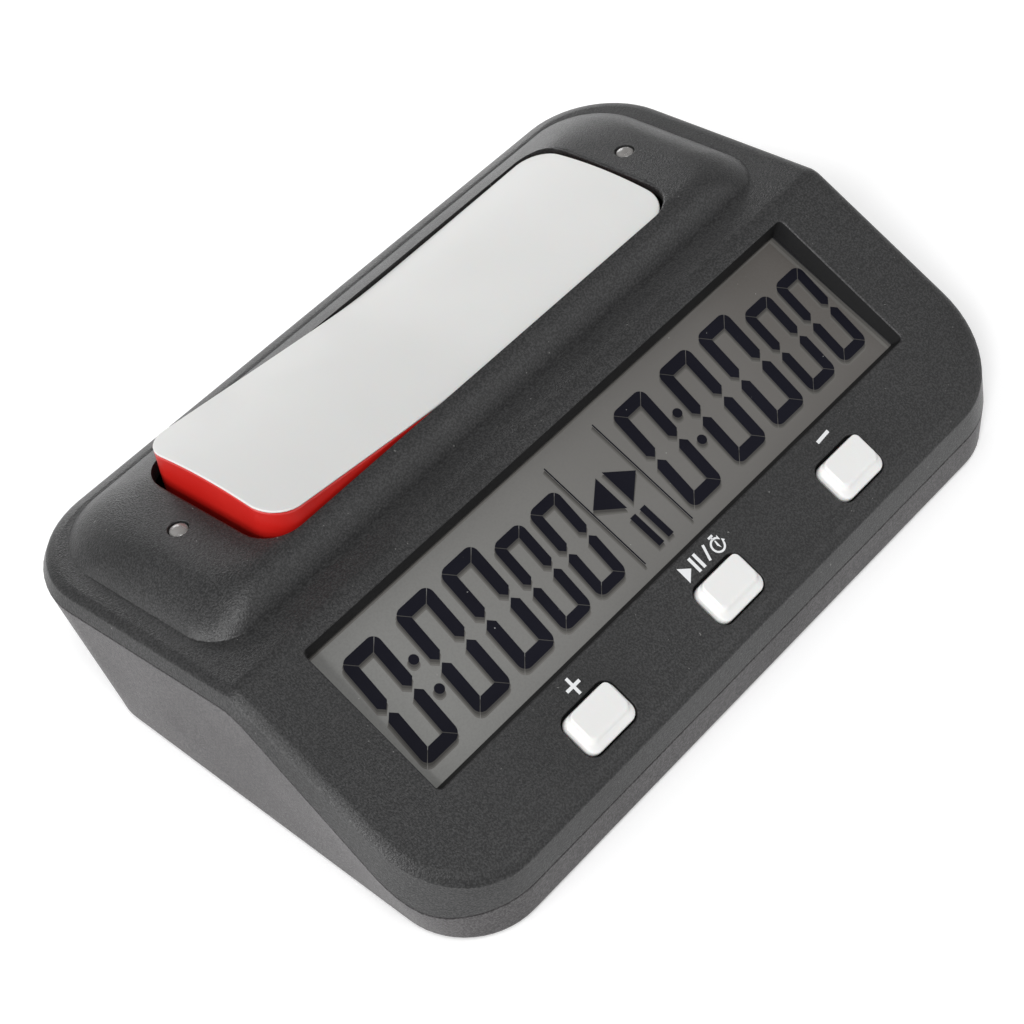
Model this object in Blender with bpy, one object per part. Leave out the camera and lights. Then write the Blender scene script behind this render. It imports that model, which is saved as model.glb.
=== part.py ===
"""Digital chess clock: a two-wing rocker on a raised deck, a sloping display panel with three buttons,
and a battery bay in the base.

Lengths in this file are millimetres and MM turns them into metres when a mesh is made. +X is to the right
of the player who faces the display, +Y is towards the rocker, +Z is up, and the feet stand on Z = 0.
Three working frames hold the shapes: the world, the DECK frame (x, u towards the rear, h above the deck) and
the PANEL frame (x, minus the distance down the slope, height above the panel).
"""

import math

import bmesh
import bpy
from mathutils import Matrix, Vector

MM = 0.001
GAP = 0.3  # left between pieces that touch

# Case
HALF_WIDTH = 77.5  # at the seam, where the case is widest
SEAM_FRONT, SEAM_REAR = -51.7, 51.7
TOP_HALF_WIDTH, TOP_FRONT, TOP_REAR = 76.1, -51.5, 51.5
BASE_HALF_WIDTH, BASE_FRONT, BASE_REAR = 74.8, -51.3, 37.8
CORNER, BASE_CORNER_FRONT, BASE_CORNER_REAR = 17.8, 14.4, 10.0
WALL = 2.0
EDGE = 3.8  # rounding between the top faces and the side wall
FOOT_HEIGHT = 1.0
CREASE_Y, CREASE_Z = -4.5, 37.1
DECK_FALL, PANEL_FALL = math.radians(7.67), math.radians(25.7)
SEAM_PEAK_Y, SEAM_PEAK_Z = -5.7, 34.2
SEAM_REAR_FALL, SEAM_FRONT_FALL = 0.13, 0.69
SEAM_LOW = 8.6
LIP_THICK, LIP_HEIGHT = 1.5, 1.0
LIP_INSET = 2.8  # the inner face of the lower shell's lip
FLOOR = FOOT_HEIGHT + WALL

# Raised housing round the rocker, in the DECK frame
HUMP_HALF, HUMP_FRONT, HUMP_REAR = 71.3, 6.9, 53.7
HUMP_CORNER, HUMP_REAR_CORNER = 8.5, 13.0
HUMP_HEIGHT, HUMP_SHOULDER = 5.2, 7.0
HUMP_START = math.radians(25)

# Rocker, in the DECK frame; its own frame has its origin on the pivot axis
ROCKER_HALF, ROCKER_U, ROCKER_HALF_U = 50.9, 29.65, 16.85
ROCKER_CORNER, ROCKER_GAP = 6.0, 0.6
PIVOT_H = -3.0
REST_TILT = math.radians(3.0)  # left wing up
WING_RISE = math.tan(math.radians(3.77))
BEND_HEIGHT, BEND_SOFTNESS = 6.7, 6.0
CROWN = 1.2
CAP_THICK = 0.8
ROCKER_WALL, ROCKER_BOTTOM = 1.8, 1.3
HUB_HALF, HUB_LOW = 4.5, -3.2
AXLE_R = 1.5
AXLE_U = (10.2, 48.8)
PAD_X, PAD_LOW = 8.3, -1.0

# Rocker board and what stands on it, in the DECK frame
RBOARD_H, BOARD_THICK = -10.4, 1.6
RBOARD_HALF, RBOARD_U = 63.0, (20.0, 42.0)
RSWITCH_HEIGHT = 4.3
LED_X, LED_U, LED_R = 57.9, 29.7, 1.65
RBOARD_SCREW_X = 46.0

# Display, in the PANEL frame; v is the distance down the slope
WINDOW_HALF, WINDOW_V = 62.4, (2.9, 33.9)
WINDOW_DRAFT = 1.1
CELL_HALF, CELL_V, CELL_TOP, CELL_THICK = 64.5, (1.2, 36.5), -2.3, 2.2
REFLECTOR_THICK = 0.3
HOLDER_HALF, HOLDER_V = 65.4, (0.8, 38.0)
MAIN_H = -7.6
MAIN_HALF, MAIN_V = 63.5, (2.5, 50.0)
MAIN_SCREWS = ((-58.0, 44.0), (-17.4, 44.0), (17.4, 44.0), (58.0, 44.0))

# Buttons, in the PANEL frame
BUTTON_X, BUTTON_V = 34.2, 43.65
BUTTON_SIZE, BUTTON_CORNER, BUTTON_TOP = (11.8, 8.0), 1.9, 2.1
BUTTON_TRAVEL = 0.8
HOLE_MARGIN = 0.35
SWITCH_SIZE, SWITCH_HEIGHT = 6.0, 3.4
PLUNGER_R = 1.5

# Battery bay, in the world
CELL_R, CELL_LENGTH = 7.1, 50.5
BAY_HALF, BAY_Y = 28.8, (0.3, 29.9)
BAY_WALL, BAY_TOP = 1.6, 18.2
COVER_HALF, COVER_TONGUE = 27.6, 1.3
COVER_FRONT = -1.0

# Fasteners and feet, in the world
CASE_SCREWS = ((-69.4, -31.5, 10.0), (69.4, -31.5, 10.0), (-68.8, 23.5, 15.5), (68.8, 23.5, 15.5))
BOSS_R, POCKET_R = 4.0, 3.1
FEET = ((-60.0, -42.0), (60.0, -42.0), (-56.0, 28.5), (56.0, 28.5))
FOOT_R = 5.0
BUZZER = (46.0, -14.0)

ROUND = 20  # sides of a round piece


# ---------------------------------------------------------------- scene, frames and materials

def clear_scene():
    for obj in list(bpy.data.objects):
        bpy.data.objects.remove(obj)


def new_collection(name):
    made = bpy.data.collections.new(name)
    bpy.context.scene.collection.children.link(made)
    return made


clear_scene()
PARTS = new_collection("chess_clock")
TOOLS = new_collection("cutters")
WORLD = Matrix.Identity(4)
CREASE = Matrix.Translation(Vector((0, CREASE_Y, CREASE_Z)))
DECK = CREASE @ Matrix.Rotation(-DECK_FALL, 4, "X")
PANEL = CREASE @ Matrix.Rotation(PANEL_FALL, 4, "X")
PIVOT = DECK @ Matrix.Translation(Vector((0, ROCKER_U, PIVOT_H)))
ROCKER = PIVOT @ Matrix.Rotation(REST_TILT, 4, "Y")


def plastic(name, colour, roughness, metallic=0.0, alpha=1.0):
    made = bpy.data.materials.new(name)
    made.use_nodes = True
    shader = made.node_tree.nodes["Principled BSDF"]
    shader.inputs["Base Color"].default_value = (*colour, 1.0)
    shader.inputs["Roughness"].default_value = roughness
    shader.inputs["Metallic"].default_value = metallic
    shader.inputs["Alpha"].default_value = alpha
    made.diffuse_color = (*colour, alpha)
    return made


CHARCOAL = plastic("charcoal_case", (0.055, 0.055, 0.057), 0.55)
WHITE = plastic("white_cap", (0.72, 0.71, 0.69), 0.4)
RED = plastic("red_rocker", (0.62, 0.012, 0.012), 0.35)
GLASS = plastic("display_glass", (0.55, 0.58, 0.52), 0.08, alpha=0.35)
SILVER_FILM = plastic("reflector_film", (0.30, 0.30, 0.27), 0.4)
INNER_PLASTIC = plastic("inner_plastic", (0.10, 0.10, 0.11), 0.5)
BOARD = plastic("circuit_board", (0.02, 0.16, 0.06), 0.45)
STEEL = plastic("steel", (0.62, 0.62, 0.62), 0.3, metallic=1.0)
BRASS = plastic("brass", (0.78, 0.57, 0.24), 0.35, metallic=1.0)
RUBBER = plastic("rubber", (0.03, 0.03, 0.03), 0.85)
LENS = plastic("led_lens", (0.62, 0.60, 0.57), 0.15, alpha=0.6)
CELL_WRAP = plastic("battery_wrap", (0.16, 0.17, 0.19), 0.35)
WIRE_RED = plastic("wire_red", (0.55, 0.02, 0.02), 0.45)
WIRE_BLACK = plastic("wire_black", (0.02, 0.02, 0.02), 0.45)
RIBBON = plastic("ribbon_grey", (0.42, 0.42, 0.42), 0.5)


# ---------------------------------------------------------------- mesh helpers

def place(name, bm, material, frame=WORLD, tool=False):
    """Turns a bmesh in millimetres into an object that stands in the given frame."""
    bmesh.ops.recalc_face_normals(bm, faces=bm.faces)
    bmesh.ops.scale(bm, vec=(MM, MM, MM), verts=bm.verts)
    mesh = bpy.data.meshes.new(name)
    bm.to_mesh(mesh)
    bm.free()
    obj = bpy.data.objects.new(name, mesh)
    spot = frame.copy()
    spot.translation = frame.translation * MM
    obj.matrix_world = spot
    if tool:
        TOOLS.objects.link(obj)
        obj.hide_render = True
        obj.display_type = "WIRE"
    else:
        PARTS.objects.link(obj)
        mesh.materials.append(material)
        mesh.shade_smooth()
        mesh.set_sharp_from_angle(angle=math.radians(30))
    return obj


def block(low, high, radius=0.0, segments=3):
    """A box between two corners, with its upright edges rounded when a radius is given."""
    bm = bmesh.new()
    size = [high[i] - low[i] for i in range(3)]
    middle = [(high[i] + low[i]) / 2 for i in range(3)]
    bmesh.ops.create_cube(bm, size=1.0, matrix=Matrix.Translation(middle) @ Matrix.Diagonal((*size, 1)))
    if radius:
        upright = [e for e in bm.edges if abs(e.verts[0].co.z - e.verts[1].co.z) > size[2] / 2]
        bmesh.ops.bevel(bm, geom=upright, offset=radius, segments=segments, affect="EDGES", profile=0.5)
    return bm


def rod(start, end, radius, top_radius=None, sides=ROUND):
    """A cylinder or cone between two points."""
    bm = bmesh.new()
    start, end = Vector(start), Vector(end)
    along = end - start
    turn = along.to_track_quat("Z", "Y").to_matrix().to_4x4()
    bmesh.ops.create_cone(
        bm, cap_ends=True, segments=sides, radius1=radius, radius2=radius if top_radius is None else top_radius,
        depth=along.length, matrix=Matrix.Translation((start + end) / 2) @ turn,
    )
    return bm


def loft(rings):
    """A closed body through rings with the same number of points, with flat ends."""
    bm = bmesh.new()
    rows = [[bm.verts.new(point) for point in ring] for ring in rings]
    count = len(rows[0])
    for lower, upper in zip(rows, rows[1:]):
        for i in range(count):
            j = (i + 1) % count
            bm.faces.new((lower[i], lower[j], upper[j], upper[i]))
    bm.faces.new(rows[0])
    bm.faces.new(rows[-1])
    return bm


def pillar(x, y, radius, bottom, roof, sides=14):
    """An upright post whose top follows a sloping ceiling."""
    round_points = [
        (x + radius * math.cos(2 * math.pi * i / sides), y + radius * math.sin(2 * math.pi * i / sides)) for i in range(sides)]
    return loft([[(a, b, bottom) for a, b in round_points], [(a, b, roof(b)) for a, b in round_points]])


def boolean(obj, tool, operation):
    step = obj.modifiers.new(tool.name, "BOOLEAN")
    step.operation = operation
    step.object = tool


def cut(obj, name, bm, frame=WORLD):
    boolean(obj, place(name, bm, None, frame, tool=True), "DIFFERENCE")


def add(obj, name, bm, frame=WORLD):
    boolean(obj, place(name, bm, None, frame, tool=True), "UNION")


# ---------------------------------------------------------------- case shells

def top_height(y):
    """Height of the deck behind the crease and of the panel in front of it."""
    fall = DECK_FALL if y > CREASE_Y else PANEL_FALL
    return CREASE_Z - abs(y - CREASE_Y) * math.tan(fall)


def under_height(y, depth):
    """The same faces moved inwards by a wall's thickness."""
    deck = CREASE_Z - (y - CREASE_Y) * math.tan(DECK_FALL) - depth / math.cos(DECK_FALL)
    panel = CREASE_Z + (y - CREASE_Y) * math.tan(PANEL_FALL) - depth / math.cos(PANEL_FALL)
    return min(deck, panel)


def soft_min(a, b, blend):
    overlap = max(blend - abs(a - b), 0.0)
    return min(a, b) - overlap * overlap / (4 * blend)


def seam_height(y):
    """The parting line: it falls gently to the rear, steeply along the panel, and is level at the front."""
    rear = SEAM_PEAK_Z - SEAM_REAR_FALL * (y - SEAM_PEAK_Y)
    front = SEAM_PEAK_Z + SEAM_FRONT_FALL * (y - SEAM_PEAK_Y)
    return -soft_min(-soft_min(rear, front, 2.5), -SEAM_LOW, 2.0)


SIDE_STATIONS = (-31.0, -24.0, -16.0, -10.0, -7.5, CREASE_Y, -2.0, 6.0, 18.0)


def outline(half, front, rear, front_corner, rear_corner, inset=0.0, segments=6):
    """Plan points, anticlockwise from the right-hand front corner, with points at the side stations."""
    half, front, rear = half - inset, front + inset, rear - inset
    front_r, rear_r = max(front_corner - inset, 0.5), max(rear_corner - inset, 0.5)
    corners = (
        (half - front_r, front + front_r, front_r, -90),
        (half - rear_r, rear - rear_r, rear_r, 0),
        (rear_r - half, rear - rear_r, rear_r, 90),
        (front_r - half, front + front_r, front_r, 180),
    )
    arcs = []
    for x, y, r, start in corners:
        angles = [math.radians(start + 90 * i / segments) for i in range(segments + 1)]
        arcs.append([(x + r * math.cos(a), y + r * math.sin(a)) for a in angles])
    right = [(half, y) for y in SIDE_STATIONS]
    left = [(-half, y) for y in reversed(SIDE_STATIONS)]
    return arcs[0] + right + arcs[1] + arcs[2] + left + arcs[3]


def top_outline(inset=0.0):
    return outline(TOP_HALF_WIDTH, TOP_FRONT, TOP_REAR, CORNER - 1.0, CORNER - 1.0, inset)


def seam_outline(inset=0.0):
    return outline(HALF_WIDTH, SEAM_FRONT, SEAM_REAR, CORNER, CORNER, inset)


def base_outline(inset=0.0):
    return outline(BASE_HALF_WIDTH, BASE_FRONT, BASE_REAR, BASE_CORNER_FRONT, BASE_CORNER_REAR, inset)


def ring(points, height):
    return [(x, y, height(y)) for x, y in points]


def shell(rings, folded_ends):
    """A closed shell through rings; an end whose roof folds at the side stations is made of strips."""
    bm = bmesh.new()
    rows = [[bm.verts.new(point) for point in row] for row in rings]
    count = len(rows[0])
    for lower, upper in zip(rows, rows[1:]):
        for i in range(count):
            j = (i + 1) % count
            bm.faces.new((lower[i], lower[j], upper[j], upper[i]))
    arc, sides = 7, len(SIDE_STATIONS)
    right = list(range(arc, arc + sides))
    left = list(range(count - arc - 1, count - arc - 1 - sides, -1))
    for row, folded in zip((rows[0], rows[-1]), folded_ends):
        if not folded:
            bm.faces.new(row)
            continue
        bm.faces.new([row[i] for i in list(range(left[0], count)) + list(range(0, right[0] + 1))])
        bm.faces.new([row[i] for i in range(right[-1], left[-1] + 1)])
        for k in range(sides - 1):
            bm.faces.new((row[right[k]], row[right[k + 1]], row[left[k + 1]], row[left[k]]))
    return bm


def hump_ring(inset, height):
    low, high = (-HUMP_HALF + inset, HUMP_FRONT + inset), (HUMP_HALF - inset, HUMP_REAR - inset)
    front = max(HUMP_CORNER - inset * 0.45, 1.5)
    rear = max(HUMP_REAR_CORNER - inset * 0.45, 1.5)
    points = []
    for x, y, radius, start in (
        (high[0] - front, low[1] + front, front, -90), (high[0] - rear, high[1] - rear, rear, 0),
        (low[0] + rear, high[1] - rear, rear, 90), (low[0] + front, low[1] + front, front, 180),
    ):
        for i in range(6):
            angle = math.radians(start + 90 * i / 5)
            points.append((x + radius * math.cos(angle), y + radius * math.sin(angle), height))
    return points


def hump(skin, foot):
    """The housing's outer form for skin 0, or its inner form for the wall's thickness."""
    rings = [hump_ring(skin, foot)]
    steps = 5
    for i in range(steps + 1):
        turn = HUMP_START + (math.pi / 2 - HUMP_START) * i / steps
        inset = HUMP_SHOULDER * (math.cos(HUMP_START) - math.cos(turn)) / math.cos(HUMP_START)
        rise = HUMP_HEIGHT * (math.sin(turn) - math.sin(HUMP_START)) / (1 - math.sin(HUMP_START))
        rings.append(hump_ring(inset + skin, rise - skin))
    return loft(rings)


def make_upper_case():
    rings = []
    for i in range(4):
        turn = math.radians(30 * i)
        inset = EDGE * (1 - math.sin(turn))

        def height(y, drop=1 - math.cos(turn)):
            return top_height(y) - drop * min(EDGE, 0.6 * (top_height(y) - seam_height(y)))

        rings.append(ring(top_outline(inset), height))
    edge = GAP / 2

    def lip(y):
        return min(seam_height(y) + edge + LIP_HEIGHT, under_height(y, WALL) - 0.2)

    rings.append(ring(seam_outline(), lambda y: seam_height(y) + edge))
    rings.append(ring(seam_outline(LIP_THICK), lambda y: seam_height(y) + edge))
    rings.append(ring(seam_outline(LIP_THICK), lip))
    rings.append(ring(seam_outline(LIP_INSET + 0.3), lip))
    rings.append(ring(top_outline(WALL), lambda y: under_height(y, WALL)))
    case = place("upper_case", shell(rings, (True, True)), CHARCOAL)

    add(case, "hump_form", hump(0.0, -1.0), DECK)
    cut(case, "hump_hollow", hump(WALL, -6.0), DECK)
    opening_x, opening_u = ROCKER_HALF + 2.0, ROCKER_HALF_U + ROCKER_GAP
    cut(case, "rocker_opening", block(
        (-opening_x, ROCKER_U - opening_u, -5), (opening_x, ROCKER_U + opening_u, 12), ROCKER_CORNER + 0.6, 4), DECK)
    for low, high, roof in ((10.0, 11.9, 3.0), (47.15, 49.1, 4.0)):
        add(case, "axle_tab", block((-4.0, low, PIVOT_H - 3.4), (4.0, high, roof)), DECK)
    cut(case, "axle_hole", rod((0, AXLE_U[0] - GAP, PIVOT_H), (0, AXLE_U[1] + GAP, PIVOT_H), AXLE_R + GAP), DECK)
    for side in (-1, 1):
        x = side * LED_X
        cut(case, "led_hole", rod((x, LED_U, 0), (x, LED_U, 12), LED_R + GAP), DECK)

    near, far = WINDOW_V
    window = []
    for depth, draft in ((1.0, -0.4), (-WALL - 0.4, WINDOW_DRAFT)):
        x, front, rear = WINDOW_HALF - draft, -far + draft, -near - draft
        window.append([(-x, front, depth), (x, front, depth), (x, rear, depth), (-x, rear, depth)])
    cut(case, "window", loft(window), PANEL)
    for x in (-BUTTON_X, 0, BUTTON_X):
        half_x, half_v = BUTTON_SIZE[0] / 2 + HOLE_MARGIN, BUTTON_SIZE[1] / 2 + HOLE_MARGIN
        cut(case, "button_hole", block(
            (x - half_x, -BUTTON_V - half_v, -6), (x + half_x, -BUTTON_V + half_v, 4), BUTTON_CORNER + 0.3, 3), PANEL)
    for x, v in MAIN_SCREWS:
        add(case, "board_post", rod((x, -v, -1.0), (x, -v, MAIN_H + GAP), 2.4, sides=12), PANEL)
        cut(case, "board_post_hole", rod((x, -v, MAIN_H - 1), (x, -v, -3.2), 1.2, sides=10), PANEL)
    for x, y, split in CASE_SCREWS:
        add(case, "upper_boss", pillar(x, y, 3.2, split + GAP / 2, lambda b: under_height(b, WALL / 2)))
        cut(case, "upper_boss_hole", rod((x, y, split - 2), (x, y, split + 6.5), 1.5, sides=10))


def make_lower_case():
    edge = GAP / 2
    bottom = FOOT_HEIGHT

    def inner_lip(y):
        return min(seam_height(y) + edge + LIP_HEIGHT - 0.4, under_height(y, WALL) - 0.6)

    rings = [
        ring(base_outline(0.7), lambda y: bottom),
        ring(base_outline(0.2), lambda y: bottom + 0.3),
        ring(base_outline(), lambda y: bottom + 0.9),
        ring(seam_outline(), lambda y: seam_height(y) - edge),
        ring(seam_outline(LIP_THICK + 0.3), lambda y: seam_height(y) - edge),
        ring(seam_outline(LIP_THICK + 0.3), inner_lip),
        ring(seam_outline(LIP_INSET), inner_lip),
        ring(base_outline(WALL + 0.4), lambda y: FLOOR),
    ]
    case = place("lower_case", shell(rings, (False, False)), CHARCOAL)
    front, rear = BAY_Y
    add(case, "bay_form", block(
        (-BAY_HALF - BAY_WALL, front - BAY_WALL, bottom + 0.6), (BAY_HALF + BAY_WALL, rear + BAY_WALL, BAY_TOP + BAY_WALL)))
    add(case, "cover_bridge", block((-31.0, rear + 0.5, bottom + 1), (31.0, BASE_REAR - 0.5, FLOOR + WALL)))
    cut(case, "bay_hollow", block((-BAY_HALF, front, FLOOR), (BAY_HALF, rear, BAY_TOP)))
    cut(case, "cover_recess", block(
        (-COVER_HALF - GAP, COVER_FRONT - GAP, bottom - 2), (COVER_HALF + GAP, BASE_REAR + 8, bottom + WALL + GAP)))
    groove = COVER_HALF + COVER_TONGUE + GAP
    cut(case, "cover_groove", block(
        (-groove, COVER_FRONT - COVER_TONGUE - GAP, bottom + 0.7), (groove, BASE_REAR + 8, bottom + WALL + GAP)))
    for side in (-1, 1):
        x = side * RBOARD_SCREW_X
        add(case, "board_pillar", rod((x, 24.2, bottom + 0.6), (x, 24.2, 18.0), 3.4, sides=14))
        add(case, "board_pillar_top", rod(
            (x, 31.0, RBOARD_H - 6.0), (x, 31.0, RBOARD_H - BOARD_THICK - GAP), 3.0, sides=14), DECK)
        cut(case, "board_pillar_hole", rod((x, 31.0, RBOARD_H - 7.0), (x, 31.0, RBOARD_H), 1.1, sides=10), DECK)
    for x, y, split in CASE_SCREWS:
        add(case, "lower_boss", rod((x, y, bottom + 0.6), (x, y, split - GAP / 2), BOSS_R, sides=16))
        cut(case, "screw_pocket", rod((x, y, bottom - 2), (x, y, bottom + 3.2), POCKET_R, sides=16))
        cut(case, "screw_hole", rod((x, y, bottom - 1), (x, y, split + 2), 1.6, sides=10))
    for x, y in FEET:
        cut(case, "foot_seat", rod((x, y, bottom - 2), (x, y, bottom + 0.7), FOOT_R + GAP))
    x, y = BUZZER
    for i in range(7):
        radius, turn = (4.0, math.radians(60 * i)) if i else (0.0, 0.0)
        spot = (x + radius * math.cos(turn), y + radius * math.sin(turn))
        cut(case, "sound_hole", rod((*spot, bottom - 1), (*spot, FLOOR + 1), 0.9, sides=10))
    for side in (-1, 1):
        cut(case, "contact_slot", block(
            (BAY_HALF - 1, 15.1 + side * 7.4 - 2.3, BAY_TOP - 3.4), (BAY_HALF + BAY_WALL + 1, 15.1 + side * 7.4 + 2.3, BAY_TOP - 1.6)))


def make_battery_cover():
    bottom = FOOT_HEIGHT
    cover = place("battery_cover", block(
        (-COVER_HALF, COVER_FRONT, bottom), (COVER_HALF, BASE_REAR - 1.0, bottom + WALL)), CHARCOAL)
    tongue = COVER_HALF + COVER_TONGUE
    add(cover, "cover_tongues", block(
        (-tongue, COVER_FRONT - COVER_TONGUE, bottom + 1.0), (tongue, BASE_REAR - 5.0, bottom + WALL)))
    for i in range(5):
        y = BASE_REAR - 7.0 - 1.8 * i
        cut(cover, "grip_groove", rod((-9, y, bottom - 0.2), (9, y, bottom - 0.2), 0.6, sides=8))


# ---------------------------------------------------------------- power

def make_batteries():
    middle = sum(BAY_Y) / 2
    floor = FOOT_HEIGHT + WALL + 2 * GAP
    height = floor + CELL_R
    for number, side in ((1, -1), (2, 1)):
        y = middle + side * (CELL_R + 0.3)
        nub = side  # the positive end points right in the rear cell and left in the front one
        start = -nub * (CELL_LENGTH / 2 - 0.6)
        body = place(f"battery_{number}", rod(
            (start, y, height), (start + nub * 49.2, y, height), CELL_R), CELL_WRAP)
        add(body, "battery_nub", rod((start + nub * 48.0, y, height), (start + nub * CELL_LENGTH, y, height), 2.7, sides=14))
        spring = []
        coils, steps, reach = 4, 12, 2.2
        for i in range(coils * steps + 1):
            turn = 2 * math.pi * i / steps
            share = i / (coils * steps)
            radius = 4.6 - 1.6 * share
            x = start - nub * (GAP + 0.35 + reach * (1 - share))
            spring.append((x, y + radius * math.cos(turn), height + radius * math.sin(turn)))
        wire(f"battery_spring_{number}", spring, 0.3, STEEL)
        plate_x = -nub * (BAY_HALF - GAP)
        low, high = sorted((plate_x, plate_x + nub * 0.4))
        if nub > 0:
            place("contact_link", block((low, BAY_Y[0] + 1.2, floor + 1), (high, BAY_Y[1] - 1.2, floor + 12.6)), STEEL)
        end = nub * (BAY_HALF - GAP)
        if nub > 0:
            contact("contact_positive", y, floor)
        else:
            contact("contact_negative", y, floor)


def contact(name, y, floor):
    """An end plate with a solder tab that leaves through the slot in the bay wall."""
    inner = BAY_HALF - GAP - 0.4
    plate = place(name, block((inner, y - 5.4, floor + 1), (inner + 0.4, y + 5.4, floor + 13.0)), STEEL)
    tab_z = BAY_TOP - 2.7
    add(plate, "contact_neck", block((inner, y - 1.8, floor + 10), (inner + 0.4, y + 1.8, tab_z + 0.2)))
    add(plate, "contact_tab", block((inner, y - 1.8, tab_z - 0.2), (BAY_HALF + BAY_WALL + 1.8, y + 1.8, tab_z + 0.2)))


def wire(name, points, radius, material):
    """A round wire through the given points."""
    curve = bpy.data.curves.new(name, "CURVE")
    curve.dimensions = "3D"
    curve.bevel_depth = radius * MM
    curve.bevel_resolution = 0 if radius < 0.5 else 1
    curve.use_fill_caps = True
    line = curve.splines.new("POLY")
    line.points.add(len(points) - 1)
    for spot, point in zip(line.points, points):
        spot.co = (*(Vector(point) * MM), 1)
    curve.materials.append(material)
    obj = bpy.data.objects.new(name, curve)
    PARTS.objects.link(obj)


def smooth_route(corners, steps=4):
    """Points on a Catmull-Rom curve through the corners."""
    knots = [Vector(c) for c in corners]
    knots = [knots[0] * 2 - knots[1]] + knots + [knots[-1] * 2 - knots[-2]]
    route = []
    for a, b, c, d in zip(knots, knots[1:], knots[2:], knots[3:]):
        for i in range(steps):
            t = i / steps
            route.append(0.5 * (2 * b + (c - a) * t + (2 * a - 5 * b + 4 * c - d) * t * t + (3 * b - a - 3 * c + d) * t ** 3))
    route.append(knots[-2])
    return route


def make_wires():
    tab_x, under = BAY_HALF + BAY_WALL + 1.8, MAIN_H - BOARD_THICK - GAP
    for name, material, y, out in (
        ("battery_wire_positive", WIRE_RED, 15.1 + CELL_R + 0.3, 6.0),
        ("battery_wire_negative", WIRE_BLACK, 15.1 - CELL_R - 0.3, 2.6),
    ):
        x = tab_x + out
        route = [
            (tab_x + 2 * GAP, y, BAY_TOP - 2.7), (tab_x + out * 0.5, y, BAY_TOP - 2.4), (x, y - 6.0, BAY_TOP),
            (x, -3.5, BAY_TOP + 1.0), PANEL @ Vector((x, -12.0, under - 3.5)), PANEL @ Vector((x, -12.0, under - 0.1)),
        ]
        wire(name, smooth_route(route), 0.6, material)


# ---------------------------------------------------------------- rocker

def rocker_top(x):
    return BEND_HEIGHT + WING_RISE * (math.hypot(x, BEND_SOFTNESS) - BEND_SOFTNESS)


def rocker_sections(inset, top, bottom, crowned_bottom=False):
    """Cross-sections from the left end to the right end, narrower where the plan corners are rounded."""
    half, half_u = ROCKER_HALF - inset, ROCKER_HALF_U - inset
    radius = max(ROCKER_CORNER - inset, 1.0)
    ends = [half - radius + radius * math.sin(math.radians(a)) for a in (90, 75, 55, 35, 15, 0)]
    stations = [-x for x in ends] + [-30, -15, -8, -3, 0, 3, 8, 15, 30] + list(reversed(ends))
    across = (-1, -0.5, 0, 0.5, 1)
    rings = []
    for x in stations:
        beyond = max(abs(x) - (half - radius), 0.0)
        wide = half_u - radius + math.sqrt(max(radius * radius - beyond * beyond, 0.0))
        crown = [CROWN * (1 - (share * wide / half_u) ** 2) for share in across]
        upper = [(x, share * wide, top(x) + rise) for share, rise in zip(across, crown)]
        lower = [(x, share * wide, bottom(x) + (rise if crowned_bottom else 0.0)) for share, rise in zip(across, crown)]
        rings.append(upper + lower[::-1])
    return rings


def make_rocker():
    place("rocker_cap", loft(rocker_sections(
        0.0, rocker_top, lambda x: rocker_top(x) - CAP_THICK, crowned_bottom=True)), WHITE, ROCKER)
    seat = CAP_THICK + GAP
    body = place("rocker_body", loft(rocker_sections(
        0.0, lambda x: rocker_top(x) - seat, lambda x: ROCKER_BOTTOM)), RED, ROCKER)
    cut(body, "rocker_hollow", loft(rocker_sections(
        ROCKER_WALL, lambda x: rocker_top(x) - seat - ROCKER_WALL, lambda x: ROCKER_BOTTOM - 1)), ROCKER)
    inner_u, under_roof = ROCKER_HALF_U - ROCKER_WALL / 2, BEND_HEIGHT - seat - 0.3
    add(body, "rocker_hub", block((-HUB_HALF, -inner_u, HUB_LOW), (HUB_HALF, inner_u, under_roof)), ROCKER)
    for side in (-1, 1):
        x = side * PAD_X
        add(body, "rocker_pad", block((x - 1.7, -3.0, PAD_LOW), (x + 1.7, 3.0, under_roof + 0.6)), ROCKER)
    cut(body, "rocker_bore", rod((0, -20, 0), (0, 20, 0), AXLE_R + GAP), ROCKER)
    place("rocker_axle", rod((0, AXLE_U[0], PIVOT_H), (0, AXLE_U[1], PIVOT_H), AXLE_R), STEEL, DECK)


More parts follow.
